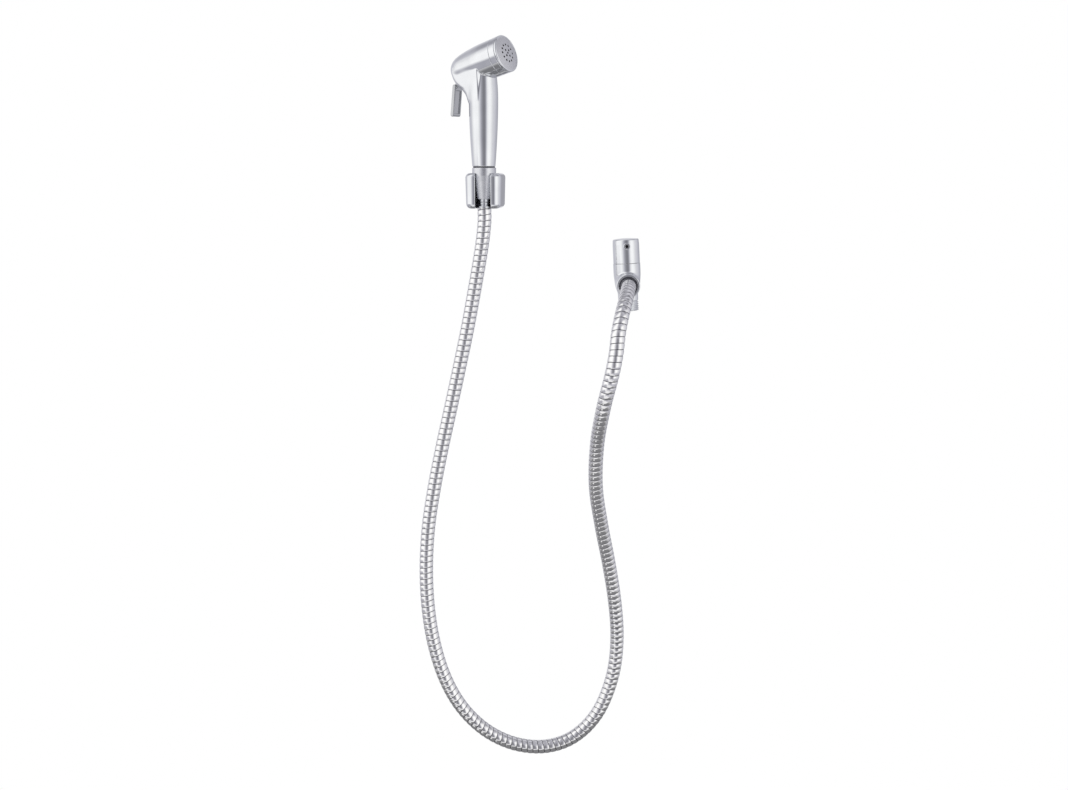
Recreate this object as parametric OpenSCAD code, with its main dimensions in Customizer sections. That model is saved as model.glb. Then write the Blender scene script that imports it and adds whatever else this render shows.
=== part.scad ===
// Trigger hand sprayer on a wall cradle, with its spiral metal hose and angle stop valve.
// Millimetres, +Z up, +Y into the wall. The origin is on the wall, at the cradle's middle height.

/* [Handset] */
// Turn of the handset about its handle, 0 points the spray along +X
handset_yaw = -28; // [-60:1:60]
// Height of the head's axis above the bottom of the handle
head_height = 104; // [98:1:125]
// Tilt of the head above the horizontal
head_tilt = 16; // [10:1:22]
// Radius of the handle at its bottom end
handle_end_r = 11.6; // [11.3:0.1:13.5]
// Radius of the handle at its fullest
handle_max_r = 14.7; // [14:0.1:18]
// Radius of the head's barrel
head_r = 18.7; // [18:0.1:22]
// Distance from the handle's axis to the spray face
face_reach = 29.6; // [29:0.1:38]
// Distance from the handle's axis to the back of the head
back_reach = 36.2; // [35:0.1:40]
// Wall of the chromed shell
shell_wall = 2.3; // [1.8:0.1:2.6]

/* [Spray plate] */
// Radius of the spray plate
plate_r = 17.6; // [17:0.1:17.8]
// Thickness of the spray plate
plate_t = 0.8; // [0.6:0.1:1]
// Rise of the plate's middle above its edge
plate_dome = 1.7; // [0.5:0.1:3]
// Diameter of each spray hole
jet_d = 1.5; // [1:0.1:2]
// Radius of the outer ring of holes
jet_outer_r = 8.6; // [7:0.1:12]
// Radius of the inner ring of holes
jet_inner_r = 3.8; // [3:0.1:5]

/* [Trigger] */
// Length of the trigger below its pin
trigger_len = 37; // [32:1:46]
// Width of the trigger's finger plate
trigger_w = 11.8; // [9:0.1:14.2]
// Width of the trigger's arm inside the head
arm_w = 7.5; // [7:0.1:8.5]
// Thickness of the trigger
trigger_t = 3.2; // [2.6:0.1:4]
// Swing of the trigger when it is squeezed, in degrees
trigger_swing = 16; // [10:1:18]
// Diameter of the trigger's pin
pin_d = 3; // [2.4:0.1:3.4]

/* [Hose] */
// Outer diameter of the spiral hose
hose_d = 14.5; // [13:0.1:16]
// Bore of the hose
hose_bore_d = 9; // [6:0.1:9.6]
// Number of turns that show as ribs
ribs = 200; // [60:2:200]
// Depth of the groove between two turns
groove = 0.5; // [0.3:0.1:0.9]

/* [Hose nuts] */
// Pitch diameter of the smooth stand-in for a G 1/2 thread
thread_d = 20.96; // [20.5:0.01:21.5]
// Height of the cone nut
nut_h = 32; // [30:0.5:36]
// Diameter of the cone nut at its wide end
nut_d = 24.5; // [24:0.1:28]
// Diameter of the cone nut at its narrow end
nut_tip_d = 15.6; // [15:0.1:17.5]
// Diameter of the neck that turns in the cone nut
neck_d = 10; // [9:0.1:10.4]

/* [Cradle] */
// Distance from the wall to the middle of the cone nut
wall_gap = 30; // [28:0.5:40]
// Width of the cradle
cradle_w = 37.6; // [36:0.1:46]
// Height of the cradle
cradle_h = 36; // [34:0.5:44]
// Reach of the cradle's arms in front of the cone nut's axis
arm_reach = 14; // [12:0.5:18]
// Rounding of the cradle's edges
cradle_round = 3; // [1:0.5:4]
// Diameter of the screw holes
screw_d = 4.5; // [3.5:0.1:5.5]
// Distance between the two screw holes
screw_pitch = 18; // [14:0.5:22]

/* [Stop valve] */
// Place of the valve's axis along the wall
valve_x = 147.8; // [120:0.1:180]
// Place of the valve's axis in front of the wall
valve_y = -35; // [-60:0.5:-30]
// Height of the outlet's axis
outlet_z = -94; // [-120:0.5:-60]
// Lean of the valve on its supply pipe, in degrees
valve_lean = 3; // [-6:0.5:6]
// Turn of the outlet, 0 points it straight out of the wall
outlet_turn = 3; // [-10:1:10]
// Radius of the valve's body
valve_r = 13.8; // [13.4:0.1:17]
// Height of the body's shoulder above the outlet's axis
valve_top = 20.9; // [20:0.1:28]
// Depth of the inlet's end below the outlet's axis
inlet_drop = 27.5; // [24:0.5:36]
// Height of the knob
knob_h = 25.2; // [22:0.1:32]
// Turn of the knob's stub when the valve is shut
knob_aim = 5; // [-45:1:45]
// Diameter of the knob's stub
stub_d = 7; // [5:0.1:8]

/* [Clearances] */
// Gap between pieces that move past each other
move_gap = 0.3; // [0.2:0.05:0.4]
// Radial clearance of a running fit
run_gap = 0.05; // [0.02:0.01:0.1]
// Radial clearance of pieces that are pushed or screwed together
seat_gap = 0.03; // [0.01:0.01:0.1]

/* [Hidden] */

$fn = 64;
EPS = 0.01;

// Cone nut and what it holds, as heights above the cradle's middle
nut_top = 23.5;
nut_bottom = nut_top - nut_h;
nut_band = 8;
nut_thread_len = 11;
washer_t = 2.5;
flange_t = 1.8;
thread_r = thread_d / 2;
pocket_r = 8.6;
washer_top = nut_top - nut_thread_len - 0.2;
washer_low = washer_top - washer_t;
flange_top = washer_low - 0.2;
flange_low = flange_top - flange_t;
pocket_floor = flange_low - 0.2;
neck_r = neck_d / 2;
hose_top = -17.5;
collar_t = 2;

// Seal ring and handle
seal_t = 1;
handle_z = nut_top + seal_t;
connector_tail = 14;
handle_peak = 0.65 * head_height;
handle_neck_in = 3.4;
riser_r = 5.5;
riser_bore_r = 4;

// Head, measured along its own axis from where it crosses the handle's axis
seam_at = face_reach - 9.7;
barrel_back = -17;
cap_t = 2.4;
ring_gap = 0.3;
plate_sink = 0.3;
gasket_t = 0.6;
socket_floor = 2.2;
socket_r = head_r - 0.9;
sleeve_r = socket_r - 1.6;
chamber_r = 13;
spigot_r = 15.2;
spigot_len = 8;
cartridge_r = 8.6;
cartridge_bore_r = 6.4;
cartridge_back = -22;
cartridge_front = 6;
cartridge_flange_t = 2;
seat_lip_t = 2;
port_r = 3.4;
gland_t = 5;
gland_flange_t = 2.4;
stem_r = 2;
disc_r = 5;
disc_t = 2;
fork_t = 2;
grip_t = 1.2;
stem_grip = 5.9 - back_reach;
stem_tail = stem_grip - fork_t / 2 - grip_t;
collar_r = 3.6;
washer_r = 5.4;

// Trigger, in the handset's own upright plane: the fork stands square on the stem where it holds it
pivot_arm = 7.6;
grip = [stem_grip * cos(head_tilt), head_height + stem_grip * sin(head_tilt)];
pivot = grip + pivot_arm * [sin(head_tilt), -cos(head_tilt)];
pivot_boss_r = 3.2;
plate_top = pivot + [-5.7, -7.2];
plate_tip = pivot + [-8.5, trigger_t / 2 - trigger_len];
stroke = pivot_arm * sin(trigger_swing);
pin_in_wall = 3.2;

// Room for the trigger's arm inside the back of the head
room_w = arm_w + 2 * move_gap;
room_back = (stem_tail - stroke) * cos(head_tilt) - collar_r * sin(head_tilt) - 1.5 * move_gap;
room_front = pivot[0] + pivot_boss_r + 2 * move_gap;
room_top = head_height + pivot[0] * tan(head_tilt) + 6.5;

// Stop valve, measured up its own axis from the outlet's axis
boss_r = 11.8;
boss_len = 13.9;
outlet_nut_len = 18;
outlet_nut_r = 11.9;
recess_r = 9.1;
recess_len = 5.5;
hose_start_in = 3;
shoulder_t = 1.5;
outlet_washer_t = 2;
lower_neck_r = 7.3;
inlet_neck_r = 10.3;
water_r = 6.5;
bonnet_r = 9.6;
bonnet_low = 10;
spindle_r = 3.6;
bonnet_top = valve_top + 8;
knob_gap = 0.4;
knob_low = valve_top + knob_gap;
knob_high = knob_low + knob_h;
knob_r = valve_r - 0.3;
spindle_top = knob_high - 5;
stub_height = 17.6;
stub_z = knob_low + stub_height;
stub_proud = 4.5;

// Distances along the outlet, from the valve's axis towards the room
nut_near = boss_len + 0.2;
nut_far = nut_near + outlet_nut_len;
nut_shoulder = nut_far - recess_len;
hose_at = nut_far - hose_start_in;
outlet_flange_top = nut_shoulder - shoulder_t - 0.1;
outlet_flange_low = outlet_flange_top - shoulder_t;
outlet_len = outlet_flange_low - 0.1 - outlet_washer_t;
outlet_way = [sin(outlet_turn), -cos(outlet_turn), 0];

// Hose route, from the cone nut's neck to the valve's outlet
straight = 15;
ROUTE = [[0, -wall_gap, hose_top], [0, -wall_gap, hose_top - straight], [-3, -30, -58], [-10, -30, -98],
    [-18, -31, -141], [-27, -33, -184], [-36, -36, -226], [-45, -40, -268], [-53, -44, -310],
    [-59, -48, -352], [-61, -52, -395], [-59, -55, -436], [-53, -57, -474], [-43, -58, -508],
    [-29, -57, -537], [-11, -55, -560], [10, -52, -577], [34, -48, -588], [60, -43, -592],
    [84, -37, -588], [104, -32, -576], [120, -28, -557], [131, -24, -533], [138, -23, -504],
    [140, -25, -468], [137, -32, -428], [131, -45, -385], [124, -64, -341], [119, -87, -295],
    [121, -110, -248], [128, -133.5, -207.5], [136, -142.5, -174.5], [140, -141.5, -153],
    [142, -137, -133.5], [145, -127.5, -117], [148, -113.5, -104.5], [149.5, -96, -96.5],
    outlet_point(hose_at + straight), outlet_point(hose_at)];

// Point on the outlet's axis at distance d from the valve's axis
function outlet_point(d) = [valve_x, valve_y, outlet_z] + d * outlet_way;

// ---------- Curves and sweeps ----------

function unit(v) = v / norm(v);

// Point on the smooth curve through the route, at stretch i and share t
function curve_point(p, i, t) =
    let (a = p[max(i - 1, 0)], b = p[i], c = p[i + 1], d = p[min(i + 2, len(p) - 1)])
    0.5 * (2 * b + (c - a) * t + (2 * a - 5 * b + 4 * c - d) * t * t + (3 * b - a - 3 * c + d) * t * t * t);

function fine_curve(p, steps) =
    concat([for (i = [0 : len(p) - 2], k = [0 : steps - 1]) curve_point(p, i, k / steps)], [p[len(p) - 1]]);

function travelled(q) =
    [for (i = 0, s = 0; i < len(q); s = i + 1 < len(q) ? s + norm(q[i + 1] - q[i]) : s, i = i + 1) s];

// Points of the curve q at even distances, count + 1 of them
function evenly(q, s, count) =
    let (whole = s[len(s) - 1])
    [for (k = 0, i = 0; k <= count; k = k + 1, i = k <= count ? step_to(s, i, whole * k / count) : i)
        let (t = (whole * k / count - s[i]) / (s[i + 1] - s[i])) q[i] + (q[i + 1] - q[i]) * t];

function step_to(s, i, at) = i < len(s) - 2 && s[i + 1] < at ? step_to(s, i + 1, at) : i;

function tangents(p) = [for (i = [0 : len(p) - 1]) unit(p[min(i + 1, len(p) - 1)] - p[max(i - 1, 0)])];

// A normal at each point that doesn't twist along the way
function normals(tan, first) =
    [for (i = 0, n = first; i < len(tan);
        i = i + 1, n = i < len(tan) ? unit(n - (n * tan[i]) * tan[i]) : n) n];

function ring(centre, tangent, normal, r, sides) =
    let (side = cross(tangent, normal))
    [for (a = [0 : sides - 1]) centre + r * (cos(360 * a / sides) * normal + sin(360 * a / sides) * side)];

// Triangles between the rings that start at points a and b
function band(a, b, sides) =
    [for (k = [0 : sides - 1]) let (n = (k + 1) % sides)
        each [[a + k, b + k, b + n], [a + k, b + n, a + n]]];

function tube_sides(first, rings, sides) =
    [for (i = [0 : rings - 2]) each band(first + i * sides, first + (i + 1) * sides, sides)];

function flipped(faces) = [for (f = faces) [f[2], f[1], f[0]]];

function fan(first, sides) = [for (k = [1 : sides - 2]) [first, first + k, first + k + 1]];

// A round bar along the points p
module bar_along(p, r, sides, first) {
    tan = tangents(p);
    nor = normals(tan, first);
    rings = len(p);
    points = [for (i = [0 : rings - 1]) each ring(p[i], tan[i], nor[i], r, sides)];
    faces = concat(tube_sides(0, rings, sides), fan(0, sides), flipped(fan((rings - 1) * sides, sides)));
    polyhedron(points, faces);
}

// ---------- Frames of reference ----------

module on_handset() {
    translate([0, -wall_gap, handle_z]) rotate(handset_yaw) children();
}

module on_head() {
    on_handset() translate([0, 0, head_height]) rotate([0, 90 - head_tilt, 0]) children();
}

module on_valve() {
    translate([valve_x, valve_y, outlet_z]) rotate([0, -valve_lean, 0]) children();
}

module on_outlet() {
    translate([valve_x, valve_y, outlet_z]) rotate([90, 0, outlet_turn]) children();
}

// A plain tube from z = low to z = high
module tube(low, high, outer, inner) {
    rotate_extrude() translate([inner, low]) square([outer - inner, high - low]);
}

// An O ring of the given section, centred at height z
module o_ring(z, mean_r, section_r) {
    rotate_extrude() translate([mean_r, z]) circle(section_r, $fn = 24);
}

// ---------- Cradle ----------

// Outline seen from above, drawn in by a margin, with the cone nut's axis at the origin
function cradle_outline(margin) =
    let (corner = 7.5, middle = cradle_w / 2 - corner, r = corner - margin)
    concat([[margin - cradle_w / 2, wall_gap]],
        [for (a = [180 : 11.25 : 270]) [-middle + r * cos(a), corner - arm_reach + r * sin(a)]],
        [for (a = [270 : 11.25 : 360]) [middle + r * cos(a), corner - arm_reach + r * sin(a)]],
        [[cradle_w / 2 - margin, wall_gap]]);

// Block with rounded edges, a little slimmer at the bottom
module cradle_block() {
    taper = 0.5;
    hull()
        for (side = [-1, 1], a = [0 : 22.5 : 90])
            translate([0, 0, side * (cradle_h / 2 - cradle_round * (1 - sin(a)) - EPS)])
                linear_extrude(EPS, center = true)
                    polygon(cradle_outline(cradle_round * (1 - cos(a)) + (side == 1 ? 0 : taper)));
}

// Room for the cone nut and for the neck below it, wider by the moving gap
module cone_room() {
    gap = move_gap;
    rotate_extrude() polygon([[0, -cradle_h / 2 - 1], [nut_tip_d / 2 + gap, -cradle_h / 2 - 1],
        [nut_tip_d / 2 + gap, nut_bottom], [nut_d / 2 + gap, nut_top - nut_band],
        [nut_d / 2 + gap, cradle_h / 2 + 1], [0, cradle_h / 2 + 1]]);
}

module cradle() {
    slot_w = nut_tip_d + 0.2;
    head_d = screw_d + 4;
    head_seat = nut_d / 2 + move_gap + 1.5;
    boss_w = head_d + 2;
    pocket_wall = 2.6;
    pocket_front = nut_d / 2 + move_gap + pocket_wall;
    pocket_low = pocket_wall - cradle_h / 2;
    color("silver") translate([0, -wall_gap, 0]) difference() {
        cradle_block();
        cone_room();
        translate([-slot_w / 2, -arm_reach - 1, -cradle_h / 2 - 1])
            cube([slot_w, arm_reach + 1, cradle_h + 2]);
        for (side = [-1, 1]) {
            translate([0, 0, side * screw_pitch / 2]) rotate([-90, 0, 0]) {
                cylinder(d = screw_d, h = wall_gap + 1);
                cylinder(d = head_d, h = head_seat);
            }
            translate([side < 0 ? pocket_wall - cradle_w / 2 : boss_w / 2, pocket_front, pocket_low])
                cube([cradle_w / 2 - pocket_wall - boss_w / 2, wall_gap, -2 * pocket_low]);
        }
    }
}

// ---------- Hose and its upper end ----------

hose_steps = 12;
hose_fine = fine_curve(ROUTE, hose_steps);
hose_travelled = travelled(hose_fine);
hose_length = hose_travelled[len(hose_travelled) - 1];
echo(hose_length_mm = hose_length, rib_pitch_mm = hose_length / ribs);

// The spiral hose: two rings of eight sides to a rib outside, and its bore
module hose() {
    sides = 8;
    rings = 2 * ribs + 1;
    p = evenly(hose_fine, hose_travelled, 2 * ribs);
    tan = [for (i = [0 : rings - 1])
        i == 0 ? [0, 0, -1] : i == rings - 1 ? -outlet_way : unit(p[i + 1] - p[i - 1])];
    nor = normals(tan, [1, 0, 0]);
    bore_at = [for (i = [0 : 4 : rings - 1]) i];
    outside = [for (i = [0 : rings - 1])
        each ring(p[i], tan[i], nor[i], hose_d / 2 - (i % 2 == 0 ? groove : 0), sides)];
    inside = [for (i = bore_at) each ring(p[i], tan[i], nor[i], hose_bore_d / 2, sides)];
    start = rings * sides;
    faces = concat(tube_sides(0, rings, sides), flipped(tube_sides(start, len(bore_at), sides)),
        flipped(band(0, start, sides)), band((rings - 1) * sides, start + (len(bore_at) - 1) * sides, sides));
    color("silver") polyhedron(concat(outside, inside), faces);
}

// Flange and neck that turn in the cone nut, with two beads and the hose's end collar
module upper_ferrule() {
    bead = 0.7;
    bead_w = 1.2;
    neck_low = hose_top + collar_t;
    color("silver") translate([0, -wall_gap, 0]) difference() {
        union() {
            translate([0, 0, neck_low]) cylinder(r = neck_r, h = flange_low - neck_low);
            translate([0, 0, flange_low - EPS]) cylinder(r = pocket_r - 0.2, h = flange_t + EPS);
            translate([0, 0, hose_top]) cylinder(r = hose_d / 2 - 0.3, h = collar_t);
            for (z = [nut_bottom - 2.6, nut_bottom - 5.2])
                rotate_extrude() polygon([[0, z - bead_w], [neck_r, z - bead_w],
                    [neck_r + bead, z - bead_w / 2], [neck_r, z], [0, z]]);
        }
        translate([0, 0, hose_top - 1]) cylinder(r = neck_r - 1.4, h = flange_top - hose_top + 2);
    }
}

// ---------- Handset ----------

// Cone nut that clamps the hose to the handset and sits in the cradle
module cone_nut() {
    lip = 0.8;
    color("silver") translate([0, -wall_gap, 0]) rotate_extrude() polygon([
        [neck_r + run_gap, nut_bottom], [nut_tip_d / 2 - lip, nut_bottom], [nut_tip_d / 2, nut_bottom + lip],
        [nut_d / 2, nut_top - nut_band], [nut_d / 2, nut_top - lip], [nut_d / 2 - lip, nut_top],
        [thread_r + seat_gap, nut_top], [thread_r + seat_gap, nut_top - nut_thread_len],
        [pocket_r, nut_top - nut_thread_len], [pocket_r, pocket_floor], [neck_r + run_gap, pocket_floor]]);
}

module nut_washer() {
    color("dimgray") translate([0, -wall_gap, 0]) tube(washer_low, washer_top, pocket_r - 0.1, neck_r);
}

// Black ring between the cone nut and the handle
module seal_ring() {
    color("black") translate([0, -wall_gap, 0])
        tube(nut_top, nut_top + seal_t, handle_end_r - 0.4, thread_r + seat_gap);
}

// Threaded nipple: its thread is in the cone nut and its tail in the handle
module inlet_connector() {
    tail_r = handle_end_r - shell_wall - seat_gap;
    thread_low = -seal_t - nut_thread_len + 0.2;
    color("goldenrod") on_handset() difference() {
        union() {
            translate([0, 0, thread_low]) cylinder(r = thread_r, h = -thread_low);
            cylinder(r = tail_r, h = connector_tail);
        }
        translate([0, 0, thread_low - 1]) cylinder(r = riser_bore_r, h = connector_tail - thread_low + 2);
        translate([0, 0, connector_tail - 8]) cylinder(r = riser_r + seat_gap, h = 9);
    }
}

riser_top = head_height - cartridge_r / cos(head_tilt) - 4;

// Water pipe inside the handle
module riser_tube() {
    color("gainsboro") on_handset() tube(connector_tail - 8 + 0.1, riser_top, riser_r, riser_bore_r);
}

// Radius of the handle at height z: fullest two thirds of the way up, drawn in at both ends
function handle_r(z) = z < handle_peak
    ? handle_max_r - (handle_max_r - handle_end_r) * pow(1 - z / handle_peak, 1.8)
    : handle_max_r - handle_neck_in * pow((z - handle_peak) / (head_height - handle_peak), 2);

module handle_solid() {
    steps = 16;
    round_end = 0.8;
    rotate_extrude() polygon(concat([[0, 0], [handle_end_r - round_end, 0]],
        [for (k = [0 : steps]) let (z = round_end + k / steps * (head_height - round_end)) [handle_r(z), z]],
        [[0, head_height]]));
}

// Barrel of the head, full at the seam and a little slimmer behind
module barrel_solid() {
    rotate_extrude() polygon([[0, barrel_back], [head_r - 1.4, barrel_back], [head_r - 0.9, -11],
        [head_r - 0.4, -4], [head_r - 0.1, 3], [head_r, 10], [head_r, seam_at], [0, seam_at]]);
}

// Rounded back of the head
module back_solid() {
    hull() {
        translate([0, 0, head_height]) rotate([0, 90 - head_tilt, 0])
            translate([0, 0, barrel_back - 1]) cylinder(r = head_r - 1.45, h = 2);
        translate([-back_reach + 9, 0, head_height - 3.5]) scale([9, 11.5, 9]) sphere(1, $fn = 32);
        translate([-back_reach + 7.5, 0, head_height - 12]) scale([7.5, 9.5, 7.5]) sphere(1, $fn = 32);
    }
}

// Web that runs from the back of the head down into the handle
module shoulder_solid() {
    hull() {
        translate([-back_reach + 8.6, 0, head_height - 14.5]) scale([8.2, 9, 8.2]) sphere(1, $fn = 32);
        translate([0, 0, head_height - 35]) cylinder(r = handle_max_r - 0.25, h = 1);
        translate([0, 0, head_height - 14]) cylinder(r = handle_max_r - 2, h = 1);
    }
}

// Room for the trigger's arm, open at the back's underside
module trigger_room() {
    low = head_height / 2;
    translate([room_back, -room_w / 2, low]) cube([room_front - room_back, room_w, room_top - low]);
}

module handset_body() {
    color("silver") difference() {
        on_handset() union() {
            handle_solid();
            translate([0, 0, head_height]) rotate([0, 90 - head_tilt, 0]) barrel_solid();
            back_solid();
            shoulder_solid();
        }
        on_handset() {
            translate([0, 0, -1]) cylinder(r = handle_end_r - shell_wall, h = head_height - 22);
            cylinder(r = riser_r + seat_gap, h = riser_top + 0.1);
            cylinder(r = riser_bore_r, h = head_height);
            trigger_room();
            translate([pivot[0], room_w / 2 + 2 * pin_in_wall, pivot[1]]) rotate([90, 0, 0])
                cylinder(r = pin_d / 2 + seat_gap, h = room_w + 3 * pin_in_wall + 0.1);
        }
        on_head() {
            translate([0, 0, cartridge_back - 6]) cylinder(r = cartridge_r + seat_gap, h = 40);
            translate([0, 0, cartridge_front]) cylinder(r = chamber_r, h = 40);
            translate([0, 0, seam_at - spigot_len - 0.5]) cylinder(r = spigot_r + seat_gap, h = 40);
        }
    }
}

// Sleeve that carries the stem, with the valve's seat at its front and a port towards the riser
module valve_cartridge() {
    color("goldenrod") difference() {
        on_head() union() {
            translate([0, 0, cartridge_back]) cylinder(r = cartridge_r, h = cartridge_front - cartridge_back);
            translate([0, 0, cartridge_front]) cylinder(r = chamber_r - 1, h = cartridge_flange_t);
        }
        on_head() {
            translate([0, 0, cartridge_back - 1])
                cylinder(r = cartridge_bore_r, h = cartridge_front - seat_lip_t - cartridge_back + 1);
            cylinder(r = port_r, h = 30);
        }
        on_handset() cylinder(r = riser_bore_r, h = head_height);
    }
}

gland_back = cartridge_back - gland_flange_t;

// Plug at the back of the cartridge that guides the stem
module gland_nut() {
    groove_r = stem_r + 1.4;
    color("goldenrod") on_head() rotate_extrude() polygon([
        [stem_r + run_gap, gland_back], [cartridge_r, gland_back], [cartridge_r, cartridge_back],
        [cartridge_bore_r - seat_gap, cartridge_back],
        [cartridge_bore_r - seat_gap, cartridge_back + gland_t],
        [stem_r + run_gap, cartridge_back + gland_t], [stem_r + run_gap, cartridge_back + 2.4],
        [groove_r, cartridge_back + 2.4], [groove_r, cartridge_back + 0.8],
        [stem_r + run_gap, cartridge_back + 0.8]]);
}

module stem_oring() {
    section = 0.62;
    color("black") on_head() o_ring(cartridge_back + 1.6, stem_r + run_gap + section, section);
}

stem_front = cartridge_front - seat_lip_t - 2;

// Rod that the trigger pulls back to let the water through
module valve_stem() {
    color("silver") on_head() rotate_extrude() polygon([
        [0, stem_tail], [collar_r, stem_tail], [collar_r, stem_tail + grip_t], [stem_r, stem_tail + grip_t],
        [stem_r, stem_front - disc_t], [disc_r, stem_front - disc_t], [disc_r, stem_front], [0, stem_front]]);
}

module stem_washer() {
    color("dimgray") on_head() translate([0, 0, stem_front]) cylinder(r = washer_r, h = 1.95);
}

// Coil spring between the gland and the stem's disc
module valve_spring() {
    low = cartridge_back + gland_t + 0.1;
    high = stem_front - disc_t - 0.1;
    wire_r = 0.5;
    turns = 5;
    per_turn = 12;
    mean_r = 4.2;
    climb = high - low - 2 * wire_r;
    p = [for (k = [0 : turns * per_turn]) [mean_r * cos(360 * k / per_turn), mean_r * sin(360 * k / per_turn),
        low + wire_r + climb * k / (turns * per_turn)]];
    echo(spring_gap_mm = climb / turns - 2 * wire_r);
    color("silver") on_head() bar_along(p, wire_r, 6, [1, 0, 0]);
}

// Side outline of the trigger's arm: fork above the pin, neck of the finger plate below it
module arm_outline() {
    fork_root = grip + (collar_r + 0.9) / pivot_arm * (pivot - grip);
    hull() {
        translate(pivot) circle(pivot_boss_r, $fn = 32);
        translate(plate_top) circle(trigger_t / 2 - 0.2, $fn = 32);
    }
    hull() {
        translate(pivot) circle(pivot_boss_r - 0.2, $fn = 32);
        translate(fork_root) circle(fork_t / 2 - 0.15, $fn = 32);
    }
    hull() {
        translate(fork_root) circle(fork_t / 2 - 0.15, $fn = 32);
        translate(grip) circle(fork_t / 2 - 0.15, $fn = 32);
    }
}

module plate_outline() {
    hull() {
        translate(plate_top) circle(trigger_t / 2, $fn = 32);
        translate(plate_tip) circle(trigger_t / 2, $fn = 32);
    }
}

module across(width) {
    translate([0, width / 2, 0]) rotate([90, 0, 0]) linear_extrude(width) children();
}

// Lever that is squeezed towards the handle
module trigger() {
    fork_low = pivot[1] + pivot_boss_r + 0.4;
    color("silver") on_handset() difference() {
        union() {
            across(arm_w) arm_outline();
            across(trigger_w) plate_outline();
        }
        translate([pivot[0], 0, pivot[1]]) rotate([90, 0, 0])
            cylinder(r = pin_d / 2 + run_gap, h = trigger_w, center = true);
        translate([pivot[0] - 10, -stem_r - move_gap, fork_low]) cube([20, 2 * (stem_r + move_gap), 20]);
    }
}

// Cross pin of the trigger, pushed into the head
module trigger_pin() {
    color("silver") on_handset() translate([pivot[0], 0, pivot[1]]) rotate([90, 0, 0])
        cylinder(r = pin_d / 2, h = room_w + 2 * pin_in_wall, center = true);
}

// Chromed band between the barrel and the bezel: spigot to the back, socket to the front
module collar_ring() {
    back = seam_at + 0.1;
    front = face_reach - cap_t - ring_gap;
    outer = head_r + 0.1;
    edge = 0.4;
    color("silver") on_head() rotate_extrude() polygon([
        [chamber_r, back - spigot_len], [spigot_r, back - spigot_len], [spigot_r, back], [outer - edge, back],
        [outer, back + edge], [outer, front - edge], [outer - edge, front], [socket_r, front],
        [socket_r, back + socket_floor], [chamber_r, back + socket_floor]]);
}

// Rounded bezel: its sleeve is in the band's socket and its lip holds the plate
module nozzle_cap() {
    back = face_reach - cap_t;
    outer = head_r + 0.15;
    rim = 1.2;
    lip = 0.5;
    hole = plate_r - lip;
    bed = face_reach - plate_sink - plate_t - 0.05 - gasket_t - 0.05;
    color("silver") on_head() rotate_extrude() polygon(concat(
        [[sleeve_r, seam_at + socket_floor + 0.4], [socket_r - seat_gap, seam_at + socket_floor + 0.4],
        [socket_r - seat_gap, back], [outer - 0.3, back], [outer, back + 0.3]],
        [for (a = [0 : 15 : 90]) [outer - rim * (1 - cos(a)), face_reach - rim * (1 - sin(a))]],
        [[hole + 0.2, face_reach], [hole, face_reach - 0.2], [hole, face_reach - plate_sink],
        [plate_r + seat_gap, face_reach - plate_sink], [plate_r + seat_gap, bed], [sleeve_r, bed]]));
}

module plate_gasket() {
    high = face_reach - plate_sink - plate_t - 0.05;
    color("dimgray") on_head() tube(high - gasket_t, high, plate_r - 0.1, sleeve_r);
}

// Half outline of a dome from its edge to its middle, or back again
function dome(r, rise, z, steps) = [for (k = steps) [r * (1 - k / 8), z + rise * (1 - pow(1 - k / 8, 2))]];

module jets(count, r, first) {
    for (k = [0 : count - 1]) rotate(first + 360 * k / count) translate([r, 0, -1])
        cylinder(d = jet_d, h = plate_t + plate_dome + 2, $fn = 24);
}

// Spray plate: one hole in the middle, four round it and twelve outside
module spray_plate() {
    dome_r = plate_r - 0.6;
    color("gainsboro") on_head() translate([0, 0, face_reach - plate_sink - plate_t]) difference() {
        rotate_extrude() polygon(concat([[plate_r, 0], [plate_r, plate_t]],
            dome(dome_r, plate_dome, plate_t, [0 : 8]), dome(dome_r, plate_dome, 0, [8 : -1 : 0])));
        jets(1, 0, 0);
        jets(4, jet_inner_r, 45);
        jets(12, jet_outer_r, 0);
    }
}

// ---------- Stop valve ----------

// End piece of the hose inside the outlet's nut
module lower_ferrule() {
    color("silver") on_outlet() difference() {
        union() {
            translate([0, 0, outlet_flange_low]) cylinder(r = thread_r - 0.5, h = shoulder_t);
            translate([0, 0, outlet_flange_low]) cylinder(r = lower_neck_r, h = hose_at - outlet_flange_low);
        }
        cylinder(r = hose_bore_d / 2, h = hose_at + 1);
    }
}

// Round nut that holds the hose on the outlet
module outlet_nut() {
    edge = 1.2;
    color("silver") on_outlet() rotate_extrude() polygon([
        [thread_r + seat_gap, nut_near], [outlet_nut_r - 0.6, nut_near], [outlet_nut_r, nut_near + 0.6],
        [outlet_nut_r, nut_far - edge], [outlet_nut_r - edge, nut_far], [recess_r, nut_far],
        [recess_r, nut_shoulder], [lower_neck_r + seat_gap, nut_shoulder],
        [lower_neck_r + seat_gap, nut_shoulder - shoulder_t],
        [thread_r + seat_gap, nut_shoulder - shoulder_t]]);
}

module outlet_washer() {
    color("dimgray") on_outlet() tube(outlet_len, outlet_len + outlet_washer_t, thread_r - 0.5, water_r);
}

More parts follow.
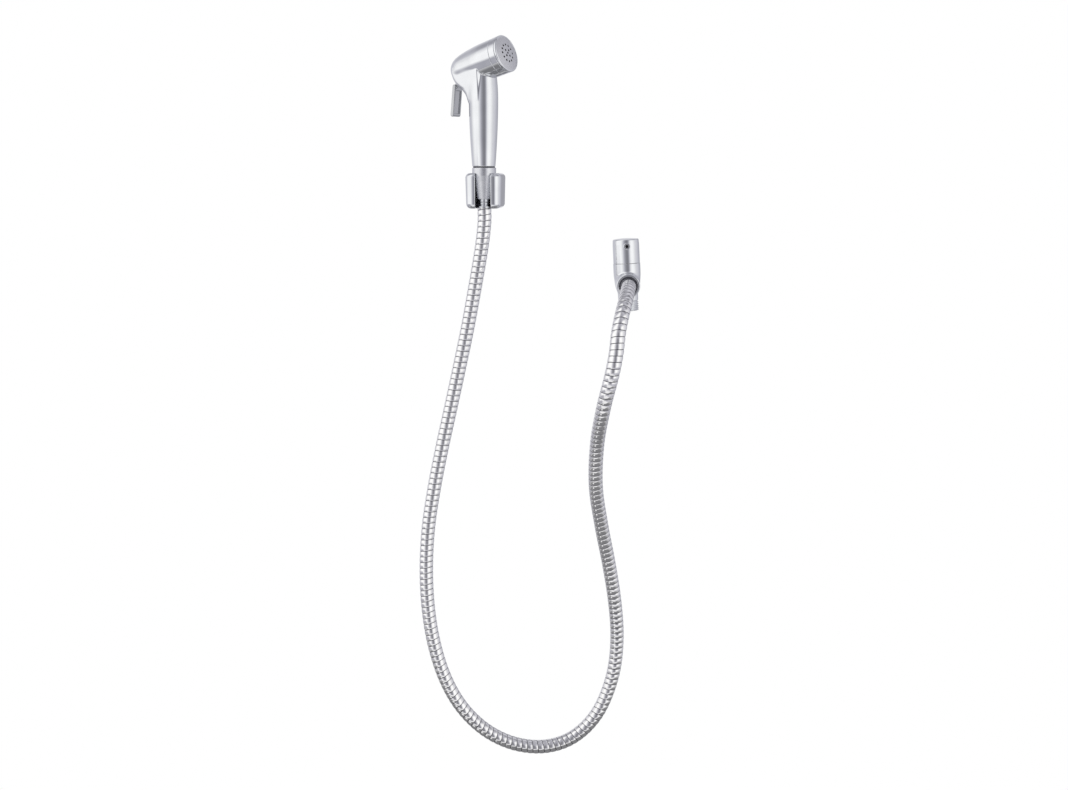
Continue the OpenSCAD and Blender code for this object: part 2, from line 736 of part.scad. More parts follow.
// Body of the angle valve: inlet below, outlet to the front, cartridge above
module stop_valve_body() {
    color("silver") difference() {
        union() {
            on_valve() rotate_extrude() polygon([[0, -inlet_drop], [thread_r - 0.8, -inlet_drop],
                [thread_r, -inlet_drop + 0.8], [thread_r, -inlet_drop + 9.4],
                [inlet_neck_r - 0.7, -inlet_drop + 9.8], [inlet_neck_r, -inlet_drop + 11],
                [inlet_neck_r, -11], [valve_r - 2.6, -5.5], [valve_r - 0.9, 2], [valve_r - 0.1, 9],
                [valve_r, 14], [valve_r, valve_top - 0.3], [valve_r - 0.3, valve_top], [0, valve_top]]);
            on_outlet() cylinder(r = boss_r, h = boss_len);
            on_outlet() cylinder(r = thread_r, h = outlet_len);
        }
        on_valve() translate([0, 0, -inlet_drop - 1]) cylinder(r = water_r, h = inlet_drop + bonnet_low + 2);
        on_valve() translate([0, 0, bonnet_low]) cylinder(r = bonnet_r + seat_gap, h = valve_top);
        on_outlet() cylinder(r = water_r, h = outlet_len + 1);
    }
}

// Brass cartridge housing, standing up into the knob
module valve_bonnet() {
    color("goldenrod") on_valve() rotate_extrude() polygon([
        [7.6, bonnet_low + 0.1], [bonnet_r, bonnet_low + 0.1], [bonnet_r, bonnet_low + 4],
        [bonnet_r - 1.2, bonnet_low + 4], [bonnet_r - 1.2, bonnet_low + 5.8], [bonnet_r, bonnet_low + 5.8],
        [bonnet_r, valve_top], [8, valve_top], [8, bonnet_top - 0.5], [7.5, bonnet_top],
        [spindle_r + run_gap, bonnet_top], [spindle_r + run_gap, bonnet_top - 2.2],
        [spindle_r + 1.3, bonnet_top - 2.2], [spindle_r + 1.3, bonnet_top - 3.8],
        [spindle_r + run_gap, bonnet_top - 3.8], [spindle_r + run_gap, bonnet_low + 8.4],
        [7.6, bonnet_low + 8.4]]);
}

module disc_with_ports(low, high, r) {
    difference() {
        translate([0, 0, low]) cylinder(r = r, h = high - low);
        for (side = [-1, 1])
            translate([side * 3.6, 0, low - 1]) cylinder(r = 2.2, h = high - low + 2);
    }
}

module fixed_disc() {
    color("ivory") on_valve() disc_with_ports(bonnet_low + 0.2, bonnet_low + 2.9, 7.55);
}

module turning_disc() {
    color("ivory") on_valve() disc_with_ports(bonnet_low + 3, bonnet_low + 5.6, 7.4);
}

module bonnet_oring() {
    color("black") on_valve() o_ring(bonnet_low + 4.9, bonnet_r - 0.58, 0.56);
}

module spindle_oring() {
    color("black") on_valve() o_ring(bonnet_top - 3, spindle_r + 0.67, 0.6);
}

// Spindle that turns the upper disc, held in the knob's boss
module spindle() {
    color("goldenrod") on_valve() rotate_extrude() polygon([
        [0, bonnet_low + 5.65], [7.3, bonnet_low + 5.65], [7.3, bonnet_low + 8.1],
        [spindle_r, bonnet_low + 8.1], [spindle_r, spindle_top - 0.5], [spindle_r - 0.5, spindle_top],
        [0, spindle_top]]);
}

// Smooth knob with a domed top, hollow round the bonnet
module knob() {
    dome = 0.9;
    round_top = 1.4;
    top_r = knob_r - 0.3 - round_top;
    top_z = knob_high - dome - round_top;
    color("silver") difference() {
        on_valve() rotate_extrude() polygon(concat(
            [[8.8, knob_low], [knob_r - 0.3, knob_low], [knob_r, knob_low + 0.3]],
            [for (a = [0 : 15 : 90]) [top_r + round_top * cos(a), top_z + round_top * sin(a)]],
            [for (k = [1 : 4]) [top_r * (1 - k / 4), knob_high - dome * pow(1 - k / 4, 2)]],
            [[0, spindle_top + 0.1], [spindle_r + seat_gap, spindle_top + 0.1],
            [spindle_r + seat_gap, bonnet_top + 1], [8.8, bonnet_top + 1]]));
        on_valve() translate([0, 0, stub_z]) rotate([90, 0, knob_aim])
            cylinder(r = stub_d / 2 + seat_gap, h = 30);
    }
}

// Stub that is screwed into the front of the knob and pinches the spindle
module knob_stub() {
    inner = spindle_r + 0.05;
    outer = knob_r + stub_proud;
    r = stub_d / 2;
    color("silver") on_valve() translate([0, 0, stub_z]) rotate([90, 0, knob_aim]) rotate_extrude() polygon([
        [0, inner], [r, inner], [r, outer - 0.8], [r - 0.3, outer - 0.25], [r - 0.9, outer], [1.2, outer],
        [0, outer - 0.7]]);
}

cradle();
hose();
upper_ferrule();
cone_nut();
nut_washer();
seal_ring();
inlet_connector();
riser_tube();
handset_body();
valve_cartridge();
gland_nut();
stem_oring();
valve_stem();
stem_washer();
valve_spring();
trigger();
trigger_pin();
collar_ring();
nozzle_cap();
plate_gasket();
spray_plate();
lower_ferrule();
outlet_nut();
outlet_washer();
stop_valve_body();
valve_bonnet();
fixed_disc();
turning_disc();
spindle();
spindle_oring();
bonnet_oring();
knob();
knob_stub();
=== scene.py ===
"""Handheld bath sprayer with wall cradle, spiral hose and stop valve: surfaces, materials, light and camera.
Shapes are worked out in millimetres in the pieces' own frames and placed in metres in the row frame."""
import math

import bpy
import numpy as np
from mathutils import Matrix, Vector


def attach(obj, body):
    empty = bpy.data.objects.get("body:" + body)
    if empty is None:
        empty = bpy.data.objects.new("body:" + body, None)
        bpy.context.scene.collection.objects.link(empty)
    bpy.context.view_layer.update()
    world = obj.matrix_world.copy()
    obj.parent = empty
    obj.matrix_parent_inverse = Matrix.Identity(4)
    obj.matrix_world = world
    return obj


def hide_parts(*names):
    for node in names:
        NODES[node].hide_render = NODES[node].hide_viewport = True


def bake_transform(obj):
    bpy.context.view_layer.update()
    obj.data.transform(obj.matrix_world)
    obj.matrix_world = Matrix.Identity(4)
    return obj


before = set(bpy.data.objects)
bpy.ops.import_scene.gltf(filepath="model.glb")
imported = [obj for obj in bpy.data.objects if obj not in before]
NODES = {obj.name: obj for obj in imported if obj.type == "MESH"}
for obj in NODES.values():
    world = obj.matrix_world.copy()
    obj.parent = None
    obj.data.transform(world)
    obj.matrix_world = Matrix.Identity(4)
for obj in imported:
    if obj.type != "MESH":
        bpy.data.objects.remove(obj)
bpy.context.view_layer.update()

# ---------------------------------------------------------------- placing


def shift(x, y, z):
    m = np.eye(4)
    m[:3, 3] = (x, y, z)
    return m


def turn(axis, degrees):
    a = math.radians(degrees)
    i, j = {"x": (1, 2), "y": (2, 0), "z": (0, 1)}[axis]
    m = np.eye(4)
    m[i, i] = m[j, j] = math.cos(a)
    m[j, i], m[i, j] = math.sin(a), -math.sin(a)
    return m


# Millimetres and degrees. The cradle's cone, the nut and the handle stand on one line in front of the wall.
AXIS_Y = -30
HANDLE_FOOT, HANDSET_TURN = 24.5, -28
HEAD_Z, BARREL_TILT = 104, 16
VALVE_AT, VALVE_LEAN, OUTLET_TURN = (147.8, -35, -94), -3, 3
STUB_Z, STUB_TURN = 38.9, 5

ON_AXIS = shift(0, AXIS_Y, 0)
ON_HANDSET = shift(0, AXIS_Y, HANDLE_FOOT) @ turn("z", HANDSET_TURN)
ON_HEAD = ON_HANDSET @ shift(0, 0, HEAD_Z) @ turn("y", 90 - BARREL_TILT)
ON_VALVE = shift(*VALVE_AT) @ turn("y", VALVE_LEAN)
ON_OUTLET = shift(*VALVE_AT) @ turn("z", OUTLET_TURN) @ turn("x", 90)
ON_STUB = ON_VALVE @ shift(0, 0, STUB_Z) @ turn("z", STUB_TURN) @ turn("x", 90)

# ---------------------------------------------------------------- nodes


def add_node(tree, kind, **values):
    """New node. A value goes to the input or property of its name; an output is linked to the input."""
    n = tree.nodes.new(kind)
    for key, value in values.items():
        if key not in n.inputs:
            setattr(n, key, value)
        elif hasattr(value, "links"):
            tree.links.new(value, n.inputs[key])
        else:
            n.inputs[key].default_value = value
    return n


def calculated(tree, operation, a, b=None):
    """Output of a math node on one or two numbers or outputs."""
    n = add_node(tree, "ShaderNodeMath", operation=operation)
    for socket, value in zip(n.inputs, (a, b)):
        if isinstance(value, (int, float)):
            socket.default_value = value
        elif value is not None:
            tree.links.new(value, socket)
    return n.outputs[0]


def ramp(tree, fac, stops, interpolation="LINEAR"):
    """Colour ramp through stops (place, colour), where a colour is three numbers or one grey."""
    n = add_node(tree, "ShaderNodeValToRGB", Fac=fac)
    n.color_ramp.interpolation = interpolation
    while len(n.color_ramp.elements) < len(stops):
        n.color_ramp.elements.new(0.5)
    for e, (at, value) in zip(n.color_ramp.elements, stops):
        e.position = at
        e.color = (value, value, value, 1) if isinstance(value, (int, float)) else (*value, 1)
    return n.outputs["Color"]


def mixed_shader(tree, fac, a, b):
    """Shader a where fac is 0 and b where it is 1."""
    n = add_node(tree, "ShaderNodeMixShader")
    for socket, value in zip(n.inputs, (fac, a, b)):
        tree.links.new(value, socket)
    return n.outputs[0]


def seen_directly(tree, path):
    """1 for rays from the camera and through glass, 0 for reflections and light."""
    return calculated(tree, "MAXIMUM", path.outputs["Is Camera Ray"], path.outputs["Is Transmission Ray"])


# ---------------------------------------------------------------- materials


class Mat:
    """A node material: Principled shader with helpers for procedural colour, roughness and bump."""

    # Most of a noise texture's values lie between these two.
    NOISE_LOW, NOISE_HIGH = 0.3, 0.7

    def __init__(self, name, metallic=0.0):
        self.mat = bpy.data.materials.new(name)
        self.mat.use_nodes = True
        self.tree = self.mat.node_tree
        self.bsdf = self.tree.nodes["Principled BSDF"]
        self.bsdf.inputs["Metallic"].default_value = metallic
        self.place = add_node(self.tree, "ShaderNodeTexCoord").outputs["Object"]

    def noise(self, scale, detail=3.0, roughness=0.5):
        n = add_node(self.tree, "ShaderNodeTexNoise", Vector=self.place, Scale=scale, Detail=detail,
                     Roughness=roughness)
        return n.outputs["Fac"]

    def colour(self, fac, dark, light):
        output = ramp(self.tree, fac, [(self.NOISE_LOW, dark), (self.NOISE_HIGH, light)])
        self.tree.links.new(output, self.bsdf.inputs["Base Color"])

    def rough(self, fac, low, high):
        n = add_node(self.tree, "ShaderNodeMapRange", Value=fac)
        n.inputs["From Min"].default_value = self.NOISE_LOW
        n.inputs["From Max"].default_value = self.NOISE_HIGH
        n.inputs["To Min"].default_value = low
        n.inputs["To Max"].default_value = high
        self.tree.links.new(n.outputs["Result"], self.bsdf.inputs["Roughness"])

    def bump(self, *layers):
        """layers: (height, distance in metres, strength)"""
        normal = None
        for height, distance, strength in layers:
            b = add_node(self.tree, "ShaderNodeBump", Height=height, Distance=distance, Strength=strength)
            if normal is not None:
                self.tree.links.new(normal, b.inputs["Normal"])
            normal = b.outputs["Normal"]
        self.tree.links.new(normal, self.bsdf.inputs["Normal"])


def chrome(name, low, high, smooth, wave, tone=1.0):
    """Chrome plating with a broad slight wave and a fine grain."""
    m = Mat(name, 1.0)
    dark, light = (tuple(tone * c for c in grey) for grey in ((0.77, 0.78, 0.80), (0.84, 0.85, 0.865)))
    m.colour(m.noise(45, 4), dark, light)
    m.rough(m.noise(260, 5, 0.6), low, high)
    m.bump((m.noise(smooth, 1), 0.0006, wave), (m.noise(2600, 2), 0.00002, 0.05))
    return m.mat


PLATED = chrome("plated_plastic_chrome", 0.035, 0.075, 70, 0.012)
BRASS_CHROME = chrome("plated_brass_chrome", 0.03, 0.06, 90, 0.006)
LEVER_CHROME = chrome("plated_lever_dark_chrome", 0.06, 0.11, 70, 0.02, 0.66)


def brushed(name, dark, light, low, high):
    """Drawn, turned or brushed metal."""
    m = Mat(name, 1.0)
    m.colour(m.noise(120, 5), dark, light)
    m.rough(m.noise(900, 4), low, high)
    m.bump((m.noise(3200, 2), 0.00003, 0.15))
    return m.mat


HOSE_STEEL = brushed("spiral_steel_polished", (0.87, 0.865, 0.865), (0.95, 0.942, 0.94), 0.07, 0.12)
STAINLESS = brushed("stainless_steel_drawn", (0.52, 0.53, 0.54), (0.66, 0.665, 0.67), 0.18, 0.32)
BRASS = brushed("turned_brass", (0.66, 0.46, 0.20), (0.83, 0.63, 0.33), 0.2, 0.34)
SATIN = brushed("plated_plastic_satin", (0.70, 0.705, 0.73), (0.80, 0.805, 0.825), 0.24, 0.34)


def shadowed(name, metallic, blotches, dark, light, grain, low, high):
    """Painted shade: a dark surface that stands in for the shade inside a groove or hole."""
    m = Mat(name, metallic)
    m.colour(m.noise(blotches, 4), dark, light)
    m.rough(m.noise(grain, 3), low, high)
    return m.mat


# Painted shade: dark metal for the hose's grooves, the thread's roots, the cradle's cone and the nut's mouth,
# and near black for the spray holes and the stub's recess.
GROOVE_SHADE_STEEL = shadowed("painted_groove_shade_steel", 1.0, 700, (0.16, 0.16, 0.18), (0.30, 0.30, 0.33), 1400, 0.3, 0.5)
RECESS = shadowed("shadowed_recess", 0.0, 600, (0.03, 0.03, 0.033), (0.07, 0.07, 0.075), 900, 0.5, 0.7)


def satin_plate():
    """Satin face of the spray plate."""
    m = Mat("satin_spray_plate", 1.0)
    m.colour(m.noise(1500, 6, 0.7), (0.58, 0.58, 0.60), (0.84, 0.84, 0.85))
    m.rough(m.noise(2200, 4), 0.22, 0.34)
    m.bump((m.noise(2400, 5, 0.7), 0.00012, 0.5))
    return m.mat


PLATE = satin_plate()


def soft(name, dark, light, low, high, grain, depth):
    """Rubber, plastic or ceramic."""
    m = Mat(name)
    m.colour(m.noise(80, 5), dark, light)
    m.rough(m.noise(400, 4), low, high)
    m.bump((m.noise(grain, 4), 0.00005, depth))
    return m.mat


BLACK_RUBBER = soft("black_rubber", (0.010, 0.010, 0.011), (0.028, 0.028, 0.030), 0.42, 0.62, 1800, 0.4)
GREY_RUBBER = soft("grey_rubber", (0.10, 0.10, 0.105), (0.17, 0.17, 0.175), 0.5, 0.7, 1800, 0.4)
PIPE = soft("natural_pipe_plastic", (0.72, 0.73, 0.70), (0.82, 0.82, 0.79), 0.3, 0.42, 900, 0.2)
CERAMIC = soft("lapped_ceramic", (0.82, 0.81, 0.77), (0.90, 0.89, 0.86), 0.1, 0.2, 2500, 0.05)

# The CAD nodes that are shown as they are, by material
KEPT = [
    (BRASS, ("inlet_connector", "valve_cartridge", "gland_nut", "valve_bonnet", "spindle")),
    (STAINLESS, ("valve_stem", "valve_spring", "trigger_pin")),
    (PIPE, ("riser_tube",)),
    (CERAMIC, ("fixed_disc", "turning_disc")),
    (BLACK_RUBBER, ("stem_oring", "bonnet_oring", "spindle_oring")),
    (GREY_RUBBER, ("stem_washer", "plate_gasket", "nut_washer", "outlet_washer")),
]

# ---------------------------------------------------------------- meshes


def unit(v):
    return v / np.maximum(np.linalg.norm(v, axis=-1, keepdims=True), 1e-12)


def circle(sides):
    """Cosines and sines of the angles round a circle."""
    angles = np.arange(sides) * 2 * math.pi / sides
    return np.cos(angles), np.sin(angles)


def piece(name, verts, faces, loop_normals, place, mat, body, slot, nodes):
    """Mesh object from millimetre points in their own frame, with the given normal at each face corner."""
    v = np.c_[verts, np.ones(len(verts))] @ place.T
    me = bpy.data.meshes.new(name)
    me.from_pydata((v[:, :3] / 1000).tolist(), [], faces.tolist() if hasattr(faces, "tolist") else faces)
    me.polygons.foreach_set("use_smooth", np.ones(len(me.polygons), bool))
    me.normals_split_custom_set(unit(np.asarray(loop_normals, float) @ place[:3, :3].T).tolist())
    me.materials.append(mat)
    ob = bpy.data.objects.new(name, me)
    bpy.context.scene.collection.objects.link(ob)
    if body:
        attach(ob, body)
    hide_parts(*nodes)
    return ob


def inlay(ob, mask, mat):
    """Second material on some of the faces."""
    ob.data.materials.append(mat)
    index = np.zeros(len(ob.data.polygons), np.int32)
    index[:len(mask)] = mask
    ob.data.polygons.foreach_set("material_index", index)


def face_middles(ob, place):
    """Distance from the axis and height of each face's middle in the piece's own frame, in millimetres."""
    c = np.array([p.center for p in ob.data.polygons]) * 1000
    c = np.c_[c, np.ones(len(c))] @ np.linalg.inv(place).T
    return np.hypot(c[:, 0], c[:, 1]), c[:, 2]


def signed_area(p):
    return 0.5 * np.sum(p[:, 0] * np.roll(p[:, 1], -1) - np.roll(p[:, 0], -1) * p[:, 1])


SHARP = 35  # degrees of turn from which an outline's corner shows as an edge
ROUND_STEPS = 5


def profile_normals(p):
    """Normals of a closed outline (r, z) at both ends of each side, smooth where the outline turns gently."""
    side = np.roll(p, -1, 0) - p
    length = np.linalg.norm(side, axis=1)[:, None]
    n = np.c_[side[:, 1], -side[:, 0]] / np.maximum(length, 1e-9) * np.sign(signed_area(p))
    mixed = unit(np.roll(n * length ** 2, 1, 0) + n * length ** 2)
    cosine = np.sum(np.roll(n, 1, 0) * n, axis=1)
    smooth = (cosine > math.cos(math.radians(SHARP)))[:, None]
    start = np.where(smooth, mixed, n)
    end = np.where(np.roll(smooth, -1, 0), np.roll(mixed, -1, 0), n)
    return start, end


def rounded(corners):
    """Outline whose corners (r, z, radius) are rounded; one without a radius stays sharp."""
    out = []
    c = [tuple(x) + (0,) * (3 - len(x)) for x in corners]
    for i, (x, y, radius) in enumerate(c):
        p, a, b = np.array([x, y]), np.array(c[i - 1][:2]), np.array(c[(i + 1) % len(c)][:2])
        if radius <= 0:
            out.append(p)
            continue
        ua, ub = unit(a - p), unit(b - p)
        half = math.acos(np.clip(ua @ ub, -1, 1)) / 2
        reach = radius / math.tan(half)
        centre = p + unit(ua + ub) * radius / math.sin(half)
        s, e = p + ua * reach - centre, p + ub * reach - centre
        a0 = math.atan2(s[1], s[0])
        d = (math.atan2(e[1], e[0]) - a0 + math.pi) % (2 * math.pi) - math.pi
        angles = [a0 + d * k / ROUND_STEPS for k in range(ROUND_STEPS + 1)]
        out += [centre + radius * np.array([math.cos(t), math.sin(t)]) for t in angles]
    return np.array(out)


def lathe(name, outline, place, mat, body, slot, nodes, sides=128):
    """Turned piece from a closed outline (r, z); points on the axis close it."""
    p = np.asarray(outline, float)
    start, end = profile_normals(p)
    n = len(p)
    cs, sn = circle(sides)
    index, verts = np.zeros((n, sides), int), []
    for i, (r, z) in enumerate(p):
        if r < 1e-6:
            index[i] = len(verts)
            verts.append((0, 0, z))
        else:
            index[i] = len(verts) + np.arange(sides)
            verts += list(zip(r * cs, r * sn, np.full(sides, z)))
    faces, normals = [], []
    backwards = signed_area(p) < 0
    for i in range(n):
        k = (i + 1) % n
        if p[i, 0] < 1e-6 and p[k, 0] < 1e-6:
            continue
        for j in range(sides):
            m = (j + 1) % sides
            corners = [(index[i, j], start[i], j), (index[i, m], start[i], m), (index[k, m], end[i], m),
                       (index[k, j], end[i], j)]
            if p[i, 0] < 1e-6:
                corners = [corners[0], corners[2], corners[3]]
            elif p[k, 0] < 1e-6:
                corners = [corners[0], corners[1], corners[2]]
            if backwards:
                corners = corners[::-1]
            faces.append([c[0] for c in corners])
            normals += [(c[1][0] * cs[c[2]], c[1][0] * sn[c[2]], c[1][1]) for c in corners]
    return piece(name, np.array(verts), faces, normals, place, mat, body, slot, nodes)


def smax(a, b, k):
    """The greater of two distances, blended where they differ by less than k."""
    h = np.maximum(k - np.abs(a - b), 0) / k
    return np.maximum(a, b) + h * h * k / 4


def smin(a, b, k):
    return -smax(-a, -b, k)


def cut(d, tool, edge):
    """Shape d less the tool's, with the edge between them eased over a width."""
    return smax(d, -tool, edge)


def rim(x, y):
    """Distance from an axis."""
    return np.sqrt(x * x + y * y)


def meet(a, b, edge):
    """Where both a and b are inside, with a rounded edge between them."""
    p, q = a + edge, b + edge
    return np.sqrt(np.maximum(p, 0) ** 2 + np.maximum(q, 0) ** 2) + np.minimum(np.maximum(p, q), 0) - edge


# Steps of drawing the vertices onto the surface, how far one goes in cells, and the reach of a slope in mm
DRAWN, DRAWN_AT_MOST, SLOPE_REACH = 4, 0.35, 0.02


def surface(name, dist, low, high, h, place, mat, body, slot, nodes):
    """Smooth closed mesh where the distance function is zero, in a box from low to high cut into cells of h:
    one vertex in each cell that the surface goes through, drawn onto the surface."""
    low, high = np.array(low, float), np.array(high, float)
    n = np.ceil((high - low) / h).astype(int) + 1
    ax = [low[i] + h * np.arange(n[i]) for i in range(3)]
    d = dist(ax[0][:, None, None], ax[1][None, :, None], ax[2][None, None, :])
    d = np.broadcast_to(d, tuple(n))
    inside = d < 0
    total = np.zeros(tuple(n - 1) + (3,))
    count = np.zeros(tuple(n - 1))
    for axis in range(3):
        o1, o2 = [k for k in range(3) if k != axis]
        for b1 in (0, 1):
            for b2 in (0, 1):
                s = [slice(None)] * 3
                s[o1] = slice(b1, n[o1] - 1 + b1)
                s[o2] = slice(b2, n[o2] - 1 + b2)
                s0, s1 = list(s), list(s)
                s0[axis], s1[axis] = slice(0, n[axis] - 1), slice(1, n[axis])
                d0, d1 = d[tuple(s0)], d[tuple(s1)]
                cross = (d0 < 0) != (d1 < 0)
                t = np.where(cross, d0 / np.where(cross, d0 - d1, 1), 0)
                total[..., axis] += np.where(cross, t, 0)
                total[..., o1] += np.where(cross, b1, 0)
                total[..., o2] += np.where(cross, b2, 0)
                count += cross
    mixed = count > 0
    index = np.full(mixed.shape, -1)
    index[mixed] = np.arange(mixed.sum())
    cell = np.argwhere(mixed)
    v = low + h * (cell + total[mixed] / count[mixed][:, None])
    faces = []
    for axis in range(3):
        o1, o2 = (axis + 1) % 3, (axis + 2) % 3
        s0, s1 = [slice(None)] * 3, [slice(None)] * 3
        s0[axis], s1[axis] = slice(0, n[axis] - 1), slice(1, n[axis])
        a, b = inside[tuple(s0)], inside[tuple(s1)]
        e = np.argwhere(a != b)
        e = e[(e[:, o1] > 0) & (e[:, o2] > 0) & (e[:, o1] < n[o1] - 1) & (e[:, o2] < n[o2] - 1)]
        quad = []
        for b1, b2 in ((1, 1), (0, 1), (0, 0), (1, 0)):
            c = e.copy()
            c[:, o1] -= b1
            c[:, o2] -= b2
            quad.append(index[c[:, 0], c[:, 1], c[:, 2]])
        quad = np.stack(quad, 1)
        out = a[e[:, 0], e[:, 1], e[:, 2]]
        quad[~out] = quad[~out][:, ::-1]
        faces.append(quad)
    faces = np.concatenate(faces)

    def grad(p):
        g = np.zeros_like(p)
        for k in range(3):
            q, r = p.copy(), p.copy()
            q[:, k] += SLOPE_REACH
            r[:, k] -= SLOPE_REACH
            g[:, k] = (dist(*q.T) - dist(*r.T)) / (2 * SLOPE_REACH)
        return g

    for _ in range(DRAWN):
        g = grad(v)
        step = -dist(*v.T)[:, None] * g / np.maximum(np.sum(g * g, 1, keepdims=True), 0.05)
        size = np.linalg.norm(step, axis=1, keepdims=True)
        v = v + step * np.minimum(1, DRAWN_AT_MOST * h / np.maximum(size, 1e-9))
    return piece(name, v, faces, grad(v)[faces.reshape(-1)], place, mat, body, slot, nodes)


# ---------------------------------------------------------------- hose

ROUTE = [
    (0, -30, -17.5), (0, -30, -32.5), (-3, -30, -58), (-10, -30, -98), (-18, -31, -141),
    (-27, -33, -184), (-36, -36, -226), (-45, -40, -268), (-53, -44, -310), (-59, -48, -352),
    (-61, -52, -395), (-59, -55, -436), (-53, -57, -474), (-43, -58, -508), (-29, -57, -537),
    (-11, -55, -560), (10, -52, -577), (34, -48, -588), (60, -43, -592), (84, -37, -588),
    (104, -32, -576), (120, -28, -557), (131, -24, -533), (138, -23, -504), (140, -25, -468),
    (137, -32, -428), (131, -45, -385), (124, -64, -341), (119, -87, -295), (121, -110, -248),
    (128, -133.5, -207.5), (136, -142.5, -174.5), (140, -141.5, -153), (142, -137, -133.5),
    (145, -127.5, -117), (148, -113.5, -104.5), (149.5, -96, -96.5), (150.108, -79.040, -94),
    (149.323, -64.060, -94),
]
HOSE_R, BORE_R = 7.25, 4.5
TURNS = 212
# The strip's crown, the groove's share of a turn and its depth, and the steps across each
CROWN, GROOVE_SHARE, GROOVE_DEPTH = 0.28, 0.11, 0.75
CROWN_STEPS, GROOVE_STEPS = 4, 3
SKIN_SIDES, BORE_SIDES, END_SIDES = 40, 16, 32
BORE_STEP = 8
END_INSET = 0.62  # how far the closing ring's edge lies inside the skin
STEPS_A_POINT = 24


def follow(points):
    """Points every millimetre or so along the smooth curve through the route, and their distance along it."""
    p = np.array(points, float)
    p = np.vstack([p[:1], p, p[-1:]])
    out = []
    for i in range(1, len(p) - 2):
        a, b, c, d = p[i - 1:i + 3]
        for t in np.arange(STEPS_A_POINT) / STEPS_A_POINT:
            out.append(0.5 * (2 * b + (c - a) * t + (2 * a - 5 * b + 4 * c - d) * t * t
                              + (3 * b - a - 3 * c + d) * t ** 3))
    out.append(p[-2])
    out = np.array(out)
    return out, np.r_[0, np.cumsum(np.linalg.norm(np.diff(out, axis=0), axis=1))]


def read_off(table, s, where):
    """Rows of a table given at the distances s, at other distances."""
    return np.stack([np.interp(where, s, table[:, k]) for k in range(3)], -1)


def carried(tangent):
    """Two directions across a line at each of its points, turned no more than the line bends."""
    across = np.array([1.0, 0, 0]) if abs(tangent[0, 0]) < 0.9 else np.array([0, 1.0, 0])
    normal = np.zeros_like(tangent)
    for i, t in enumerate(tangent):
        across = unit(across - t * (across @ t))
        normal[i] = across
    return normal, np.cross(tangent, normal)


def wound(points, pitch, cross, sides):
    """Tube wound from one profiled strip along a line of points. cross lists the strip's sides as
    ((t, r, slope), (t, r, slope)) with t the share of a turn. Returns points, faces, corner normals and
    each face's side of the strip."""
    line, s = points
    end = s[-1]
    tangent = unit(np.gradient(line, s, axis=0))
    normal, other = carried(tangent)
    k = len(cross)
    t = np.array([side[0][0] for side in cross])
    r = np.array([side[0][1] for side in cross])
    # A row of points is one edge of the strip over one turn. Its last point joins the row k further on.
    m = (int(math.ceil(end / pitch)) + 2) * k + 1
    row = np.arange(m)
    j = np.arange(sides)
    where = pitch * (row // k + t[row % k] - 1)[:, None] + pitch * j[None, :] / sides
    inside = np.clip(where, 0, end)
    cs, sn = (c[None, :, None] for c in circle(sides))
    radial = unit(cs * read_off(normal, s, inside) + sn * read_off(other, s, inside))
    along = unit(read_off(tangent, s, inside))
    v = read_off(line, s, inside) + radial * r[row % k][:, None, None]
    rows, cols = (grid.ravel() for grid in np.meshgrid(np.arange(m - 1), j, indexing="ij"))
    up = np.where(cols == sides - 1, k, 0)
    ok = rows + 1 + up < m
    rows, cols, up = rows[ok], cols[ok], up[ok]
    nxt = (cols + 1) % sides
    ids = np.stack([rows * sides + cols, (rows + up) * sides + nxt, (rows + 1 + up) * sides + nxt,
                    (rows + 1) * sides + cols], 1)
    ws = where.ravel()[ids]
    keep = (ws.max(1) > 0) & (ws.min(1) < end)
    ids, side = ids[keep], (rows % k)[keep]
    slope = np.array([[c[0][2], c[0][2], c[1][2], c[1][2]] for c in cross]) / pitch
    n = radial.reshape(-1, 3)[ids] - slope[side][..., None] * along.reshape(-1, 3)[ids]
    used, back = np.unique(ids, return_inverse=True)
    return v.reshape(-1, 3)[used], back.reshape(-1, 4), n.reshape(-1, 3), side


def bore_tube(points, radius, sides, step):
    """Smooth tube along the same line, facing its inside."""
    line, s = points
    where = np.linspace(0, s[-1], int(s[-1] / step) + 2)
    c = read_off(line, s, where)
    normal, other = carried(unit(read_off(np.gradient(line, s, axis=0), s, where)))
    cs, sn = (part[None, :, None] for part in circle(sides))
    radial = cs * normal[:, None] + sn * other[:, None]
    v = (c[:, None] + radius * radial).reshape(-1, 3)
    i, j = (grid.ravel() for grid in np.meshgrid(np.arange(len(c) - 1), np.arange(sides), indexing="ij"))
    m = (j + 1) % sides
    ids = np.stack([(i + 1) * sides + j, (i + 1) * sides + m, i * sides + m, i * sides + j], 1)
    return v, ids, -radial.reshape(-1, 3)[ids].reshape(-1, 3)


def merged(*parts):
    """One mesh of several (points, faces, corner normals)."""
    v, f, n, base = [], [], [], 0
    for verts, faces, normals in parts:
        v.append(verts)
        f.append(np.asarray(faces) + base)
        n.append(np.asarray(normals).reshape(-1, 3))
        base += len(verts)
    return np.concatenate(v), np.concatenate(f), np.concatenate(n)


def strip(sag, groove_share, depth, radius, crown_steps, groove_steps):
    """Sides of one wound strip: a crowned band and the groove after it."""
    band = 1 - groove_share
    edge = radius - sag

    def crown(t):
        q = (t - band / 2) / (band / 2)
        return (t, radius - sag * q * q, -2 * sag * q / (band / 2))

    def hollow(t):
        q = (t - band - groove_share / 2) / (groove_share / 2)
        return (t, edge - (depth - sag) * (1 - q * q), 2 * (depth - sag) * q / (groove_share / 2))

    a = [crown(band * k / crown_steps) for k in range(crown_steps + 1)]
    b = [hollow(band + groove_share * k / groove_steps) for k in range(groove_steps + 1)]
    return list(zip(a[:-1], a[1:])) + list(zip(b[:-1], b[1:]))


